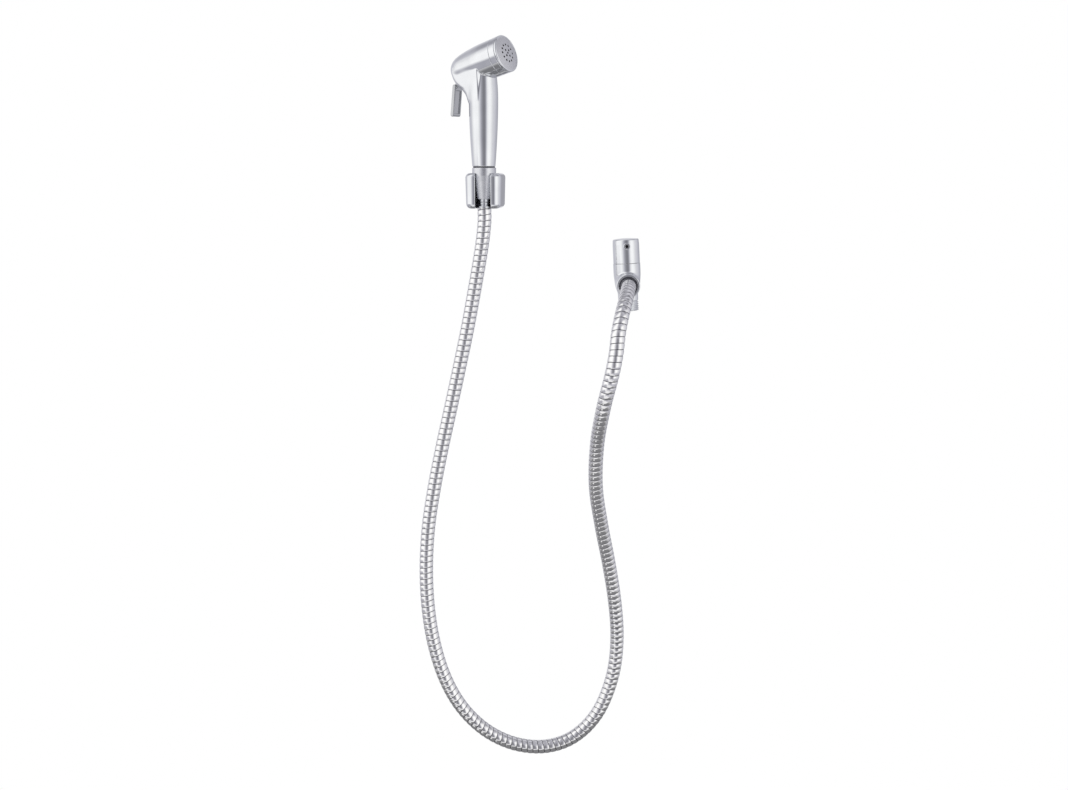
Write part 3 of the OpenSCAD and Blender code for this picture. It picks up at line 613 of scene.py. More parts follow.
def end_ring(end, before):
    """Flat ring that closes the hose between its bore and its skin, facing away from the point before."""
    end = np.array(end, float)
    d = unit(end - before)
    a = unit(np.cross(d, (0.3, 0.8, 0.5)))
    cs, sn = circle(END_SIDES)
    ray = cs[:, None] * a + sn[:, None] * np.cross(d, a)
    v = np.concatenate([end + BORE_R * ray, end + (HOSE_R - END_INSET) * ray])
    j = np.arange(END_SIDES)
    m = (j + 1) % END_SIDES
    return v, np.stack([j, j + END_SIDES, m + END_SIDES, m], 1), np.tile(d, (4 * END_SIDES, 1))


hose_line = follow(ROUTE)
band = strip(CROWN, GROOVE_SHARE, GROOVE_DEPTH, HOSE_R, CROWN_STEPS, GROOVE_STEPS)
*skin, skin_side = wound(hose_line, hose_line[1][-1] / TURNS, band, SKIN_SIDES)
hose_mesh = merged(skin, bore_tube(hose_line, BORE_R, BORE_SIDES, BORE_STEP),
                   end_ring(ROUTE[0], ROUTE[1]), end_ring(ROUTE[-1], ROUTE[-2]))
hose = piece("hose_spiral", *hose_mesh, np.eye(4), HOSE_STEEL, None, "hose", ["hose"])
# Painted shade: the grooves between the strip's turns get the dark metal.
inlay(hose, skin_side >= CROWN_STEPS, GROOVE_SHADE_STEEL)
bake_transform(hose)

# ---------------------------------------------------------------- camera

camera = bpy.data.objects.new("camera", bpy.data.cameras.new("camera"))
bpy.context.scene.collection.objects.link(camera)
camera.location = (0.182, -1.5198, 0.020)
look = Vector((0.0509, -0.0255, -0.212)) - camera.location
camera.rotation_euler = look.to_track_quat("-Z", "Y").to_euler()
camera.data.sensor_width = 36
camera.data.lens = 48.8
camera.data.clip_end = 50
bpy.context.scene.camera = camera

# ---------------------------------------------------------------- head and handle

# The shell's side view is a table over x and z, with a value every STEP.
STEP = 0.3
GX, GZ = np.arange(-46, 26, STEP), np.arange(-4, 138, STEP)
OUTSIDE = -150  # the least squared depth kept in the table
END_FALL = 60  # how steeply a part falls off past its end
HANDLE_R, WIDEST_Z = 14.7, 67.6
BARREL_REAR = -20  # where the barrel's rounded rear starts

# Where things are cut in the handset's own frame
HEAD_FACE = 19.85
HEAD_BORES = [(15.25, 11.4), (13.0, 6.0)]  # radius and where it starts
FOOT_BORE_R, FOOT_BORE_END = 9.32, 14.2
SLOT_X, SLOT_Z = -28.965, 77.375
SLOT_HALF = (5.735, 4.05, 25.375)
PIVOT, PIN_BORE_R, PIN_BORE_END = (-27.031, 88.343), 1.53, -7.35


def along_barrel(x, z):
    """Side view turned to the barrel: how far along its axis and how far above it."""
    c, s = math.cos(math.radians(BARREL_TILT)), math.sin(math.radians(BARREL_TILT))
    return x * c + (z - HEAD_Z) * s, -x * s + (z - HEAD_Z) * c


def soft_interp(z, zs, rs):
    """Monotone smooth curve through the outline's points."""
    zs, rs = np.array(zs, float), np.array(rs, float)
    slope = np.diff(rs) / np.diff(zs)
    product, total = slope[1:] * slope[:-1], slope[1:] + slope[:-1]
    m = np.r_[slope[0], np.where(product > 0, 2 * product / (total + 1e-12), 0), slope[-1]]
    i = np.clip(np.searchsorted(zs, z) - 1, 0, len(zs) - 2)
    h = zs[i + 1] - zs[i]
    t = np.clip((z - zs[i]) / h, 0, 1)
    return ((2 * t ** 3 - 3 * t * t + 1) * rs[i] + (t ** 3 - 2 * t * t + t) * h * m[i]
            + (-2 * t ** 3 + 3 * t * t) * rs[i + 1] + (t ** 3 - t * t) * h * m[i + 1])


def softened(g, width):
    """The table blurred by a width in millimetres."""
    n = math.ceil(3 * width / STEP)
    kernel = np.exp(-0.5 * (np.arange(-n, n + 1) * STEP / width) ** 2)
    kernel /= kernel.sum()
    for axis in (0, 1):
        size = g.shape[axis]
        pad = np.pad(g, [(n, n) if k == axis else (0, 0) for k in (0, 1)], mode="edge")
        g = sum(kernel[k] * np.take(pad, np.arange(k, k + size), axis=axis) for k in range(2 * n + 1))
    return g


# The barrel's top, underside and half depth along its axis, and the rear edge of the web by height
BARREL_A = [-42, -34, -26, -18, -10, -2, 6, 14, 30]
BARREL_TOP = [10.4, 13.4, 15.5, 16.9, 17.75, 18.3, 18.6, 18.7, 18.7]
BARREL_LOW = [-9, -11, -13, -14.8, -16.4, -17.7, -18.4, -18.7, -18.7]
BARREL_HALF = [9.8, 11.5, 13.1, 14.4, 15.9, 17.5, 18.5, 18.7, 18.7]
WEB_Z = [50, 58, 63.1, 70, 76.5, 79.5, 83.3, 88.8, 94.6, 104, 120]
WEB_REAR = [-12, -13.6, -15.0, -17.2, -22.8, -27.0, -31.2, -34.6, -36.4, -37, -37]


def handle_table(x, z):
    """The handle: 3.1 mm slimmer at its foot, 3.4 mm at its top, and 0.75 mm deeper to the rear."""
    height = np.clip(z, 0, HEAD_Z)
    below = HANDLE_R - 3.1 * np.maximum(1 - height / WIDEST_Z, 0) ** 1.8
    above = HANDLE_R - 3.4 * ((height - WIDEST_Z) / (HEAD_Z - WIDEST_Z)) ** 2
    r = np.where(height < WIDEST_Z, below, above)
    flat = np.where(x < 0, (r / (r + 0.75)) ** 2, 1)
    return r * r - flat * x * x - END_FALL * np.maximum(z - HEAD_Z, 0) ** 2


def barrel_table(x, z):
    """The barrel: an oval of changing height and depth, closed by a rounded rear."""
    a, w = along_barrel(x, z)
    top, low, deep = (soft_interp(a, BARREL_A, t) for t in (BARREL_TOP, BARREL_LOW, BARREL_HALF))
    rear = (np.maximum(BARREL_REAR - a, 0) / 19.3) ** 4.2
    return deep ** 2 * (1 - ((2 * w - top - low) / (top - low)) ** 2 - rear)


def web_table(x, z):
    """The web under the barrel: nearly flat sides that lean together, and a rounded rear edge 5.5 mm deep."""
    rear = soft_interp(z, WEB_Z, WEB_REAR)
    inset = (x - rear) / np.sqrt(1 + np.gradient(rear[0], GZ)[None, :] ** 2)
    face = 16.7 + 0.155 * (x - 3) - 0.085 * np.maximum(96 - z, 0)
    web = face ** 2 * (1 - np.maximum(1 - inset / 5.5, 0) ** 2.2)
    web = web - END_FALL * np.maximum(z - 100, 0) ** 2 - END_FALL * np.maximum(x - 3, 0) ** 2
    return web - 2 * np.maximum(68 - z, 0) ** 2


def body_table():
    """Squared half depth of the shell at each (x, z): barrel, web and handle run into each other."""
    x, z = GX[:, None], GZ[None, :]
    barrel = softened(np.maximum(barrel_table(x, z), OUTSIDE), 0.9)
    web = softened(np.maximum(web_table(x, z), OUTSIDE), 0.7)
    joined = smax(smax(web, handle_table(x, z), 60), barrel, 14)
    return softened(np.maximum(joined, OUTSIDE), 0.45)


BODY = body_table()


def spline_weights(t):
    """Weights of the four neighbours in a cubic spline, and in its slope."""
    return ([(1 - t) ** 3 / 6, (3 * t ** 3 - 6 * t * t + 4) / 6, (-3 * t ** 3 + 3 * t * t + 3 * t + 1) / 6,
             t ** 3 / 6],
            [-(1 - t) ** 2 / 2, (3 * t * t - 4 * t) / 2, (-3 * t * t + 2 * t + 1) / 2, t * t / 2])


def body_sample(x, z):
    """Smooth value and slopes of the table."""
    u, v = (x - GX[0]) / STEP, (z - GZ[0]) / STEP
    u, v = np.clip(u, 1, len(GX) - 3.001), np.clip(v, 1, len(GZ) - 3.001)
    i, j = np.floor(u).astype(int), np.floor(v).astype(int)
    (wu, du), (wv, dv) = spline_weights(u - i), spline_weights(v - j)
    g = gx = gz = 0
    for m in range(4):
        for k in range(4):
            value = BODY[i + m - 1, j + k - 1]
            g = g + wu[m] * wv[k] * value
            gx = gx + du[m] * wv[k] * value
            gz = gz + wu[m] * dv[k] * value
    return g, gx / STEP, gz / STEP


def body_shell(x, y, z):
    """The handset's shell with the trigger's slot, the pin's bore and the bores of head and foot."""
    g, gx, gz = body_sample(x + 0 * z, z + 0 * x)
    d = (y * y - g) / np.sqrt(4 * y * y + gx * gx + gz * gz + 12)
    half_x, half_y, half_z = SLOT_HALF
    slot = np.maximum(np.abs(x - SLOT_X) - half_x, np.abs(z - SLOT_Z) - half_z)
    d = cut(d, smax(slot, np.abs(y) - half_y, 0.6), 1.5)
    pin = rim(x - PIVOT[0], z - PIVOT[1]) - PIN_BORE_R
    d = cut(d, np.maximum(pin, PIN_BORE_END - y), 0.7)
    a, w = along_barrel(x, z)
    d = smax(d, a - HEAD_FACE, 0.45)
    for radius, start in HEAD_BORES:
        d = cut(d, np.maximum(rim(y, w) - radius, start - a), 0.3)
    d = smax(d, -z, 0.9)
    return cut(d, np.maximum(rim(x, y) - FOOT_BORE_R, z - FOOT_BORE_END), 0.3)


surface("handset_shell", body_shell, (-40.5, -20, -0.6), (26, 20, 130.5), 0.5,
        ON_HANDSET, PLATED, "handset", "plated", ["handset_body"])

BAND = [(13, 12), (15.2, 12), (15.2, 20), (18.8, 20, 0.45), (18.8, 26.9, 0.45), (17.8, 26.9), (17.8, 22.2),
        (13, 22.2)]
BEZEL = [(16.2, 22.5), (17.77, 22.5), (17.77, 27.2), (18.85, 27.2, 0.35), (18.85, 29.6, 1.25),
         (17.1, 29.6, 0.25), (17.1, 29.3), (17.63, 29.3), (17.63, 27.8), (16.2, 27.8)]
HEAD_SIDES = 160
lathe("head_band", rounded(BAND), ON_HEAD, PLATED, "handset", "plated", ["collar_ring"], HEAD_SIDES)
lathe("head_bezel", rounded(BEZEL), ON_HEAD, PLATED, "handset", "plated", ["nozzle_cap"], HEAD_SIDES)

# ---------------------------------------------------------------- spray plate

PLATE_R, PLATE_BACK, PLATE_FACE = 17.6, 28.5, 29.3
DOME_R, DOME_H = 17, 1.7
HOLE_R = 0.96
HOLE_RINGS = [(0, [0]), (3.8, range(45, 360, 90)), (8.6, range(0, 360, 30))]  # radius and angles
HOLES = [(r * math.cos(a), r * math.sin(a)) for r, angles in HOLE_RINGS for a in np.radians(angles)]
HOLES_WITHIN, FACE_SKIN = 12, 0.06  # the hole walls, painted near black as shade, lie inside this radius and this far under the face


def dome(rho):
    return DOME_H * np.maximum(1 - (rho / DOME_R) ** 2, 0)


def plate_shape(x, y, z):
    rho = rim(x, y)
    d = np.maximum(np.maximum(PLATE_BACK + dome(rho) - z, z - PLATE_FACE - dome(rho)), rho - PLATE_R)
    nearest = np.inf
    for hx, hy in HOLES:
        nearest = np.minimum(nearest, rim(x - hx, y - hy))
    return cut(d, nearest - HOLE_R, 0.15)


plate = surface("spray_face", plate_shape, (-18, -18, 28.2), (18, 18, 31.4), 0.3, ON_HEAD, PLATE, "handset",
                "plate", ["spray_plate"])
rho, height = face_middles(plate, ON_HEAD)
# Painted shade: the hole walls get the near black recess material.
inlay(plate, (height < PLATE_FACE - FACE_SKIN + dome(rho)) & (rho < HOLES_WITHIN), RECESS)

# ---------------------------------------------------------------- trigger

GRIP = (-29.126, 95.648)
ROOT = tuple(g + 4.5 / 7.6 * (p - g) for g, p in zip(GRIP, PIVOT))  # 4.5 of the 7.6 mm from grip to pivot
FINGER_TOP, FINGER_TIP = (-32.731, 81.143), (-35.531, 52.943)
PIVOT_EYE_R = 1.55
FORK_GAP, FORK_Z = 2.3, 91.94
TROUGH_HALF, TROUGH_Z, TROUGH_HALF_Z = 4.6, 65.5, 11.5


def bar(x, z, a, b, ra, rb):
    """Distance to a tapered bar with round ends in the side view."""
    ax, az, bx, bz = *a, *b
    t = np.clip(((x - ax) * (bx - ax) + (z - az) * (bz - az)) / ((bx - ax) ** 2 + (bz - az) ** 2), 0, 1)
    return rim(x - ax - t * (bx - ax), z - az - t * (bz - az)) - ra - t * (rb - ra)


def slab(d, y, half, edge):
    """Outline d extruded to both sides of zero, with rounded edges."""
    return meet(d, np.abs(y) - half, edge)


def lever_shape(x, y, z):
    """Broad finger plate below the pivot and a forked arm above it, which grips the valve's stem."""
    arm = smin(bar(x, z, PIVOT, FINGER_TOP, 3.2, 1.4), bar(x, z, PIVOT, ROOT, 3.0, 0.85), 0.6)
    arm = np.minimum(arm, bar(x, z, ROOT, GRIP, 0.85, 0.85))
    finger = slab(bar(x, z, FINGER_TOP, FINGER_TIP, 1.9, 2.0), y, 6.5, 0.8)
    d = smin(slab(arm, y, 3.75, 0.5), finger, 0.5)
    along = (z - FINGER_TIP[1]) / (FINGER_TOP[1] - FINGER_TIP[1])
    middle = FINGER_TIP[0] + along * (FINGER_TOP[0] - FINGER_TIP[0])
    depth = np.maximum(middle + 0.7 - x, np.abs(z - TROUGH_Z) - TROUGH_HALF_Z)
    d = cut(d, smax(np.abs(y) - TROUGH_HALF, depth, 0.6), 0.5)
    d = cut(d, rim(x - PIVOT[0], z - PIVOT[1]) - PIVOT_EYE_R, 0.15)
    return smax(d, np.minimum(FORK_GAP - np.abs(y), z - FORK_Z), 0.2)


surface("trigger_lever", lever_shape, (-38.4, -7.0, 50.0), (-22.6, 7.0, 98), 0.32, ON_HANDSET, LEVER_CHROME,
        "trigger", "plated", ["trigger"])

# ---------------------------------------------------------------- nut, seal and neck

CONE_NUT = [(5.05, -8.5), (7.8, -8.5, 0.7), (12.25, 15.5, 1.2), (12.25, 23.5, 0.75), (10.51, 23.5),
            (10.51, 12.5), (8.6, 12.5), (8.6, 6.1), (5.05, 6.1)]
SEAL = [(10.51, 23.5), (11.2, 23.5, 0.2), (11.2, 24.5, 0.2), (10.51, 24.5)]
NECK_RINGS = [ring for z in (-14.9, -12.3) for ring in ((5, z, 0.1), (5.7, z + 0.6, 0.3), (5, z + 1.2, 0.1))]
NECK = [(3.6, -17.5), (6.95, -17.5, 0.35), (6.95, -15.5, 0.5), (5, -15.5, 0.25), *NECK_RINGS, (5, 6.3),
        (8.4, 6.3), (8.4, 8.1), (3.6, 8.1)]
lathe("hose_cone_nut", rounded(CONE_NUT), ON_AXIS, SATIN, "handset", "plated", ["cone_nut"])
lathe("black_seal", rounded(SEAL), ON_AXIS, BLACK_RUBBER, "handset", "rubber", ["seal_ring"])
lathe("hose_neck", rounded(NECK), ON_AXIS, BRASS_CHROME, "hose_end", "brass", ["upper_ferrule"])

# ---------------------------------------------------------------- cradle

CRADLE_HALF_W, CRADLE_HALF_D, CRADLE_HALF_H, CRADLE_MIDDLE = 18.8, 37, 18, 23
CRADLE_CORNER, CRADLE_EDGE, CRADLE_TAPER = 9, 5, 0.9
WALL = 30
CONE_Z, CONE_R = (-8.5, 15.5), (8.1, 12.55)
MOUTH_HALF = 7.9
SCREW_Z, SCREW_R, SCREW_HEAD_R, SCREW_HEAD_END = 9, 2.25, 4.25, 14.05
POCKET_X, POCKET_HALF_W, POCKET_FRONT, POCKET_HALF_H = 10.725, 5.475, 15.15, 15.4
CONE_SKIN = 0.35  # faces this near to the cone are painted dark, as shade


def cradle_shape(x, y, z):
    """C-shaped block, narrower at the bottom, with a cone open to the front, screw holes and two pockets."""
    plan = meet(np.abs(x) - CRADLE_HALF_W, np.abs(y - CRADLE_MIDDLE) - CRADLE_HALF_D, CRADLE_CORNER)
    plan = plan + CRADLE_TAPER * (CRADLE_HALF_H - z) / (2 * CRADLE_HALF_H)
    d = slab(plan, z, CRADLE_HALF_H, CRADLE_EDGE)
    room = (rim(x, y) - np.interp(z, CONE_Z, CONE_R)) * 0.98
    mouth = np.maximum(np.abs(x) - MOUTH_HALF, y)
    d = cut(d, smin(room, mouth, 2.2), 0.9)
    for at in (-SCREW_Z, SCREW_Z):
        hole = rim(x, z - at)
        d = cut(d, np.maximum(hole - SCREW_R, -y), 0.3)
        d = cut(d, np.maximum(hole - SCREW_HEAD_R, np.maximum(y - SCREW_HEAD_END, -y)), 0.4)
    pocket = np.maximum(np.abs(np.abs(x) - POCKET_X) - POCKET_HALF_W, POCKET_FRONT - y)
    d = cut(d, np.maximum(pocket, np.abs(z) - POCKET_HALF_H), 0.5)
    return smax(d, y - WALL, 0.4)


cradle = surface("wall_cradle", cradle_shape, (-19.6, -14.8, -18.8), (19.6, 30.8, 18.8),
                 0.5, ON_AXIS, PLATED, "mounted", "plated", ["cradle"])
rho, height = face_middles(cradle, ON_AXIS)
# Painted shade: the faces inside the cone get the dark metal.
inlay(cradle, rho < np.interp(height, CONE_Z, CONE_R) + CONE_SKIN, GROOVE_SHADE_STEEL)

# ---------------------------------------------------------------- stop valve

# The body's radius by height; its inlet, with the thread, is at the bottom.
BODY_Z = [-28.5, -18.4, -17.9, -17.4, -16.5, -14, -11, -8.2, -5.5, -2, 2, 5.5, 9, 12, 14, 17, 21.5]
BODY_R = [9.3, 9.3, 9.45, 9.75, 10.15, 10.3, 10.3, 10.6, 11.2, 12.05, 12.9, 13.4, 13.7, 13.78, 13.8, 13.8,
          13.8]
BODY_FOOT, BODY_TOP = -27.5, 21.05
BOSS_R, BOSS_END = 11.8, 13.9
NIPPLE_R, NIPPLE_END = 10.48, 23.0
WATERWAY_R, WATERWAY_TOP = 6.5, 12
BONNET_R, BONNET_SEAT = 9.63, 10
TO_OUTLET = np.linalg.inv(ON_OUTLET) @ ON_VALVE


def valve_shape(x, y, z):
    """The stop valve's body: turned inlet and barrel, and the outlet's boss and nipple to the front."""
    rho = rim(x, y)
    d = (rho - soft_interp(z, BODY_Z, BODY_R)) * 0.97
    d = smax(d, BODY_FOOT - z, 0.8)
    d = smax(d, z - BODY_TOP, 0.3)
    u, v, w = (a * x + b * y + c * z + e for a, b, c, e in TO_OUTLET[:3])
    out = rim(u, v)
    d = smin(d, np.maximum(out - BOSS_R, np.maximum(w - BOSS_END, -w)), 2.5)
    d = np.minimum(d, smax(out - NIPPLE_R, np.maximum(w - NIPPLE_END, -w), 0.6))
    d = cut(d, np.maximum(out - WATERWAY_R, -w), 0.3)
    d = cut(d, np.maximum(rho - WATERWAY_R, z - WATERWAY_TOP), 0.3)
    return cut(d, np.maximum(rho - BONNET_R, BONNET_SEAT - z), 0.3)


surface("valve_body", valve_shape, (-15, -26, -28.4), (15, 15, 21.8), 0.45, ON_VALVE,
        BRASS_CHROME, "mounted", "brass", ["stop_valve_body"])

# G 1/2: root, rising flank, crest and falling flank of one turn
THREAD_PITCH, THREAD_FOOT, THREAD_LENGTH, THREAD_SIDES = 1.814, -27.3, 9.0, 72
THREAD = [((0, 9.25, 0.0), (0.12, 9.25, 0.0)), ((0.12, 9.25, 3.3), (0.46, 10.42, 3.3)),
          ((0.46, 10.42, 0.0), (0.62, 10.42, 0.0)), ((0.62, 10.42, -3.3), (1.0, 9.25, -3.3))]
up_thread = np.linspace(0, THREAD_LENGTH, 19)
thread_line = np.c_[0 * up_thread, 0 * up_thread, THREAD_FOOT + up_thread]
*thread_mesh, thread_side = wound((thread_line, up_thread), THREAD_PITCH, THREAD, THREAD_SIDES)
thread = piece("valve_inlet_thread", *thread_mesh, ON_VALVE, BRASS_CHROME, "mounted", "brass", [])
# Painted shade: the thread's roots get the dark metal.
inlay(thread, thread_side == 0, GROOVE_SHADE_STEEL)

OUTLET_NUT = [(10.51, 14.1), (11.9, 14.1, 0.6), (11.9, 32.1, 1.0), (9.6, 32.1, 0.2), (9.1, 31.5, 0.2),
              (9.1, 26.6), (7.33, 26.6), (7.33, 25.1), (10.51, 25.1)]
FLANGE = [(BORE_R, 23.5), (9.98, 23.5), (9.98, 25.0), (7.3, 25.0), (7.3, 29.1), (BORE_R, 29.1)]
nut = lathe("valve_outlet_nut", rounded(OUTLET_NUT), ON_OUTLET, BRASS_CHROME, "mounted", "brass",
            ["outlet_nut"])
rho, height = face_middles(nut, ON_OUTLET)
# Painted shade: the inside of the nut's mouth gets the dark metal.
inlay(nut, (rho < 9.35) & (height > 26), GROOVE_SHADE_STEEL)
lathe("hose_end_flange", rounded(FLANGE), ON_OUTLET, BRASS_CHROME, "mounted", "brass", ["lower_ferrule"])

# ---------------------------------------------------------------- knob

KNOB_TOP, KNOB_CROWN, CROWN_R, KNOB_EDGE_Z, KNOB_EDGE_R = 46.5, 0.9, 11.8, 44.2, 1.4
crown = [(CROWN_R * t, KNOB_TOP - KNOB_CROWN * t * t) for t in np.arange(10) / 10]
edge = [(CROWN_R + KNOB_EDGE_R * math.cos(a), KNOB_EDGE_Z + KNOB_EDGE_R * math.sin(a))
        for a in np.radians(range(82, -1, -8))]
SKIRT = [(13.5, 40), (13.5, 21.2, 0.3), (8.8, 21.2), (8.8, 29.9), (3.63, 29.9), (3.63, 41.6), (0, 41.6)]
knob = np.vstack([crown, edge, rounded(SKIRT)])
lathe("valve_knob", knob, ON_VALVE, BRASS_CHROME, "knob", "brass", ["knob"])

STUB = [(0, 3.65), (3.5, 3.65), (3.5, 18.0, 0.6), (1.6, 18.0, 0.2), (1.6, 15.2), (0, 15.2)]
stub = lathe("valve_knob_stub", rounded(STUB), ON_STUB, BRASS_CHROME, "knob", "brass", ["knob_stub"], 64)
rho, height = face_middles(stub, ON_STUB)
# Painted shade: the recess in the stub's end is near black.
inlay(stub, (rho < 1.7) & (height > 15), RECESS)

# ---------------------------------------------------------------- kept CAD nodes

for mat, names in KEPT:
    for node_name in names:
        materials = NODES[node_name].data.materials
        materials.clear()
        materials.append(mat)

# ---------------------------------------------------------------- floor

# Metres. The floor glows a little less than white in the middle, where its diffuse part takes the shadow, and
# fades into the backdrop's white at its edge.
FLOOR_AT, FLOOR_R, FLOOR_SIDES = (0.05, -0.05, -1.0), 1.1, 120
FADE_FROM, FADE_TO = 0.3, 1.05
GLOW_MIDDLE, DIFFUSE_MIDDLE = 0.9, 0.17
# What the metal sees of it: a dark floor with a pale front, a pale spot at the left and a half pale rim
FRONT_FROM, FRONT_TO = -0.54, -0.72
SPOT_AT, SPOT_FROM, SPOT_TO = (-0.32, -0.38, 0), 0.22, 0.08
RIM_FROM, RIM_TO, RIM_SHARE = 0.62, 1.08, 0.5
DARK_FLOOR, PALE_FLOOR = (0.225, 0.225, 0.235), (0.92, 0.92, 0.93)


def smooth_step(tree, value, a, b, at_a=0.0, at_b=1.0):
    """Output that goes from at_a to at_b as the value goes from a to b."""
    if a > b:
        a, b, at_a, at_b = b, a, at_b, at_a
    n = add_node(tree, "ShaderNodeMapRange", Value=value, interpolation_type="SMOOTHSTEP")
    for name, number in (("From Min", a), ("From Max", b), ("To Min", at_a), ("To Max", at_b)):
        n.inputs[name].default_value = number
    return n.outputs["Result"]


def floor_material():
    """White for the camera, with the object's shadow; dark and pale zones for glossy rays."""
    mat = bpy.data.materials.new("pale_floor")
    mat.use_nodes = True
    tree = mat.node_tree
    tree.nodes.clear()
    place = add_node(tree, "ShaderNodeTexCoord").outputs["Object"]
    middle = add_node(tree, "ShaderNodeVectorMath", operation="LENGTH")
    tree.links.new(place, middle.inputs[0])
    middle = middle.outputs["Value"]

    glow = smooth_step(tree, middle, FADE_FROM, FADE_TO, GLOW_MIDDLE, 1.0)
    thin = smooth_step(tree, middle, FADE_FROM, FADE_TO, DIFFUSE_MIDDLE, 0.0)
    white = add_node(tree, "ShaderNodeAddShader")
    tree.links.new(add_node(tree, "ShaderNodeEmission", Strength=glow).outputs[0], white.inputs[0])
    tree.links.new(add_node(tree, "ShaderNodeBsdfDiffuse", Color=thin).outputs[0], white.inputs[1])

    y = add_node(tree, "ShaderNodeSeparateXYZ", Vector=place).outputs["Y"]
    spot = add_node(tree, "ShaderNodeVectorMath", operation="DISTANCE")
    tree.links.new(place, spot.inputs[0])
    spot.inputs[1].default_value = SPOT_AT
    front = smooth_step(tree, y, FRONT_FROM, FRONT_TO)
    left = smooth_step(tree, spot.outputs["Value"], SPOT_FROM, SPOT_TO)
    rim = calculated(tree, "MULTIPLY", smooth_step(tree, middle, RIM_FROM, RIM_TO), RIM_SHARE)
    pale = calculated(tree, "MAXIMUM", calculated(tree, "MAXIMUM", front, left), rim)
    shade = ramp(tree, pale, [(0, DARK_FLOOR), (1, PALE_FLOOR)])
    zones = add_node(tree, "ShaderNodeEmission", Color=shade).outputs[0]

    plain = add_node(tree, "ShaderNodeBsdfDiffuse", Color=(0.82, 0.82, 0.82, 1)).outputs[0]
    path = add_node(tree, "ShaderNodeLightPath")
    indirect = mixed_shader(tree, path.outputs["Is Glossy Ray"], plain, zones)
    whole = mixed_shader(tree, seen_directly(tree, path), indirect, white.outputs[0])
    add_node(tree, "ShaderNodeOutputMaterial", Surface=whole)
    return mat


floor_angles = [2 * math.pi * k / FLOOR_SIDES for k in range(FLOOR_SIDES)]
floor_mesh = bpy.data.meshes.new("floor")
floor_mesh.from_pydata([(FLOOR_R * math.cos(a), FLOOR_R * math.sin(a), 0) for a in floor_angles], [],
                       [tuple(range(FLOOR_SIDES))])
floor_mesh.materials.append(floor_material())
floor = bpy.data.objects.new("floor", floor_mesh)
bpy.context.scene.collection.objects.link(floor)
floor.location = FLOOR_AT

# ---------------------------------------------------------------- world

# The white of strength 1, as the metal sees it between the studio's grey flags: (direction, strength), in
# degrees from the front towards the right, for the middle, lower and upper zone.
RING = [(-180, 0.74), (-150, 0.70), (-128, 0.64), (-112, 0.68), (-98, 0.88), (-88, 1.05), (-76, 1.12),
        (-60, 1.10), (-44, 1.08), (-32, 0.90), (-23, 0.66), (-14, 0.46), (-6, 0.34), (2, 0.27), (10, 0.24),
        (18, 0.30), (25, 0.48), (32, 0.80), (40, 1.02), (52, 1.12), (66, 1.06), (78, 0.90), (90, 0.78),
        (112, 0.70), (126, 0.57), (146, 0.52), (160, 0.40), (180, 0.38)]
LOW = [(-180, 0.20), (-150, 0.24), (-120, 0.40), (-95, 0.46), (-75, 0.48), (-58, 0.46), (-44, 0.74),
       (-32, 0.92), (-4, 0.92), (10, 0.72), (24, 0.56), (55, 0.56), (80, 0.52), (120, 0.44), (160, 0.40),
       (180, 0.24)]
HIGH = [(-180, 0.44), (-130, 0.36), (-110, 0.40), (-90, 0.80), (-72, 1.08), (-40, 1.05), (-20, 0.52),
        (5, 0.40), (30, 0.46), (60, 0.56), (80, 0.42), (97, 0.26), (110, 0.28), (124, 0.58), (150, 0.66),
        (180, 0.44)]
NADIR, ZENITH = 0.30, 0.46
# Degrees above the horizon over which one zone gives way to the next
NADIR_TO_LOW, LOW_TO_RING, RING_TO_HIGH, HIGH_TO_ZENITH = (-62, -42), (-30, -18), (24, 44), (66, 84)
# How many degrees higher the lower zone reaches, by direction
LIFT = [(-180, 0), (-120, 4), (-105, 14), (-55, 14), (-38, 0), (180, 0)]


def lavender(grey):
    """A grey that leans towards lavender where it is dark, as in the photo."""
    cool = max(0.0, min(1.0, (0.95 - grey) / 0.4))
    return grey * (1 - 0.03 * cool), grey * (1 - 0.03 * cool), grey * (1 + 0.07 * cool)


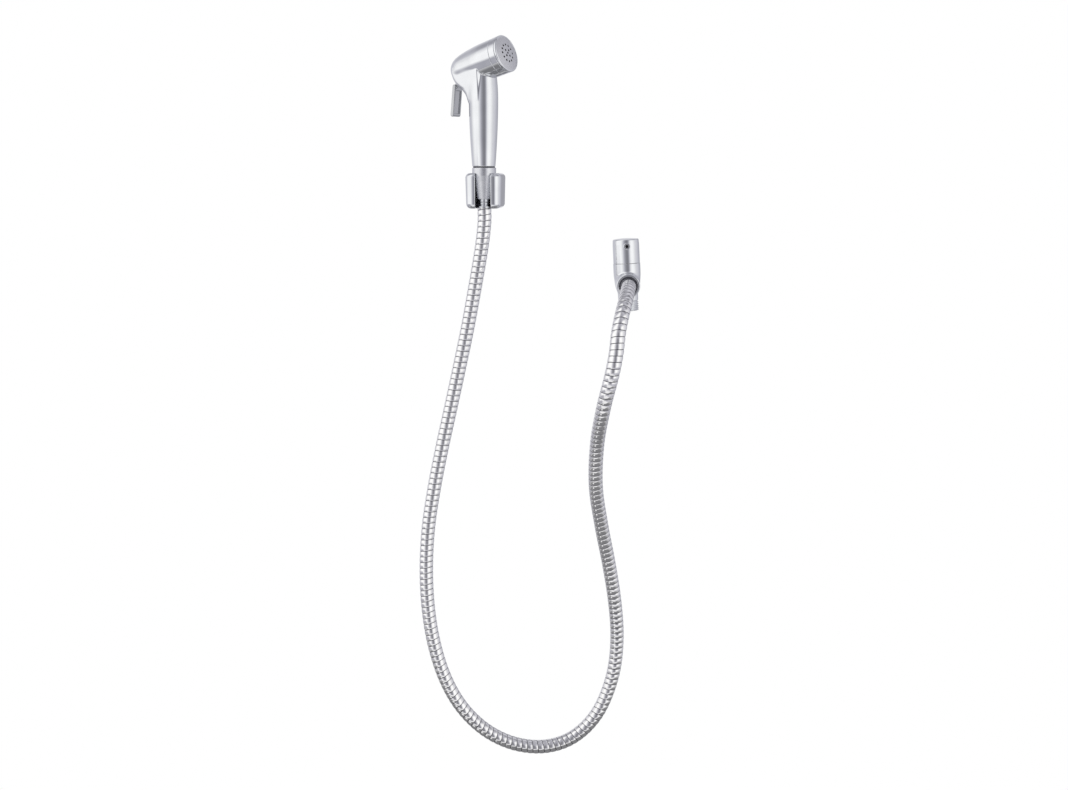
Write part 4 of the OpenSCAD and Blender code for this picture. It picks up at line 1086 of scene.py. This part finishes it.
def studio_world():
    """White for the camera, and the zones of white and grey for everything else."""
    world = bpy.data.worlds.new("studio")
    world.use_nodes = True
    tree = world.node_tree
    tree.nodes.clear()
    place = add_node(tree, "ShaderNodeTexCoord").outputs["Generated"]
    x, y, z = add_node(tree, "ShaderNodeSeparateXYZ", Vector=place).outputs
    azimuth = calculated(tree, "ARCTAN2", x, calculated(tree, "MULTIPLY", y, -1.0))
    azimuth = calculated(tree, "ADD", calculated(tree, "MULTIPLY", azimuth, 1 / (2 * math.pi)), 0.5)
    height = calculated(tree, "MULTIPLY", calculated(tree, "ARCSINE", z), 1 / math.pi)
    height = calculated(tree, "ADD", height, 0.5)

    def around(table):
        return ramp(tree, azimuth, [((b + 180) / 360, lavender(v)) for b, v in table], "EASE")

    def even(grey):
        return ramp(tree, height, [(0, lavender(grey)), (1, lavender(grey))], "EASE")

    def change(at, degrees, below, above):
        a, b = degrees
        n = add_node(tree, "ShaderNodeMix", data_type="RGBA")
        share = ramp(tree, at, [((a + 90) / 180, 0.0), ((b + 90) / 180, 1.0)])
        for socket, value in zip((n.inputs["Factor"], n.inputs[6], n.inputs[7]), (share, below, above)):
            tree.links.new(value, socket)
        return n.outputs[2]

    lift = ramp(tree, azimuth, [((b + 180) / 360, v / 180) for b, v in LIFT])
    seen = change(calculated(tree, "SUBTRACT", height, lift), LOW_TO_RING, around(LOW), around(RING))
    seen = change(height, NADIR_TO_LOW, even(NADIR), seen)
    seen = change(height, RING_TO_HIGH, seen, around(HIGH))
    seen = change(height, HIGH_TO_ZENITH, seen, even(ZENITH))
    flags = add_node(tree, "ShaderNodeBackground", Color=seen, Strength=1.0).outputs[0]
    white = add_node(tree, "ShaderNodeBackground", Color=(1, 1, 1, 1), Strength=1.0).outputs[0]
    path = add_node(tree, "ShaderNodeLightPath")
    whole = mixed_shader(tree, seen_directly(tree, path), flags, white)
    add_node(tree, "ShaderNodeOutputWorld", Surface=whole)
    return world


bpy.context.scene.world = studio_world()

key = bpy.data.objects.new("key_light", bpy.data.lights.new("key_light", "AREA"))
key.data.shape = "DISK"
key.data.size = 1.6
key.data.energy = 22
key.location = (-1.4, -1.9, 2.2)
key.rotation_euler = (Vector((0.05, 0, -0.2)) - key.location).to_track_quat("-Z", "Y").to_euler()
key.visible_glossy = False
key.visible_camera = False
bpy.context.scene.collection.objects.link(key)

bpy.context.scene.view_settings.view_transform = "Standard"
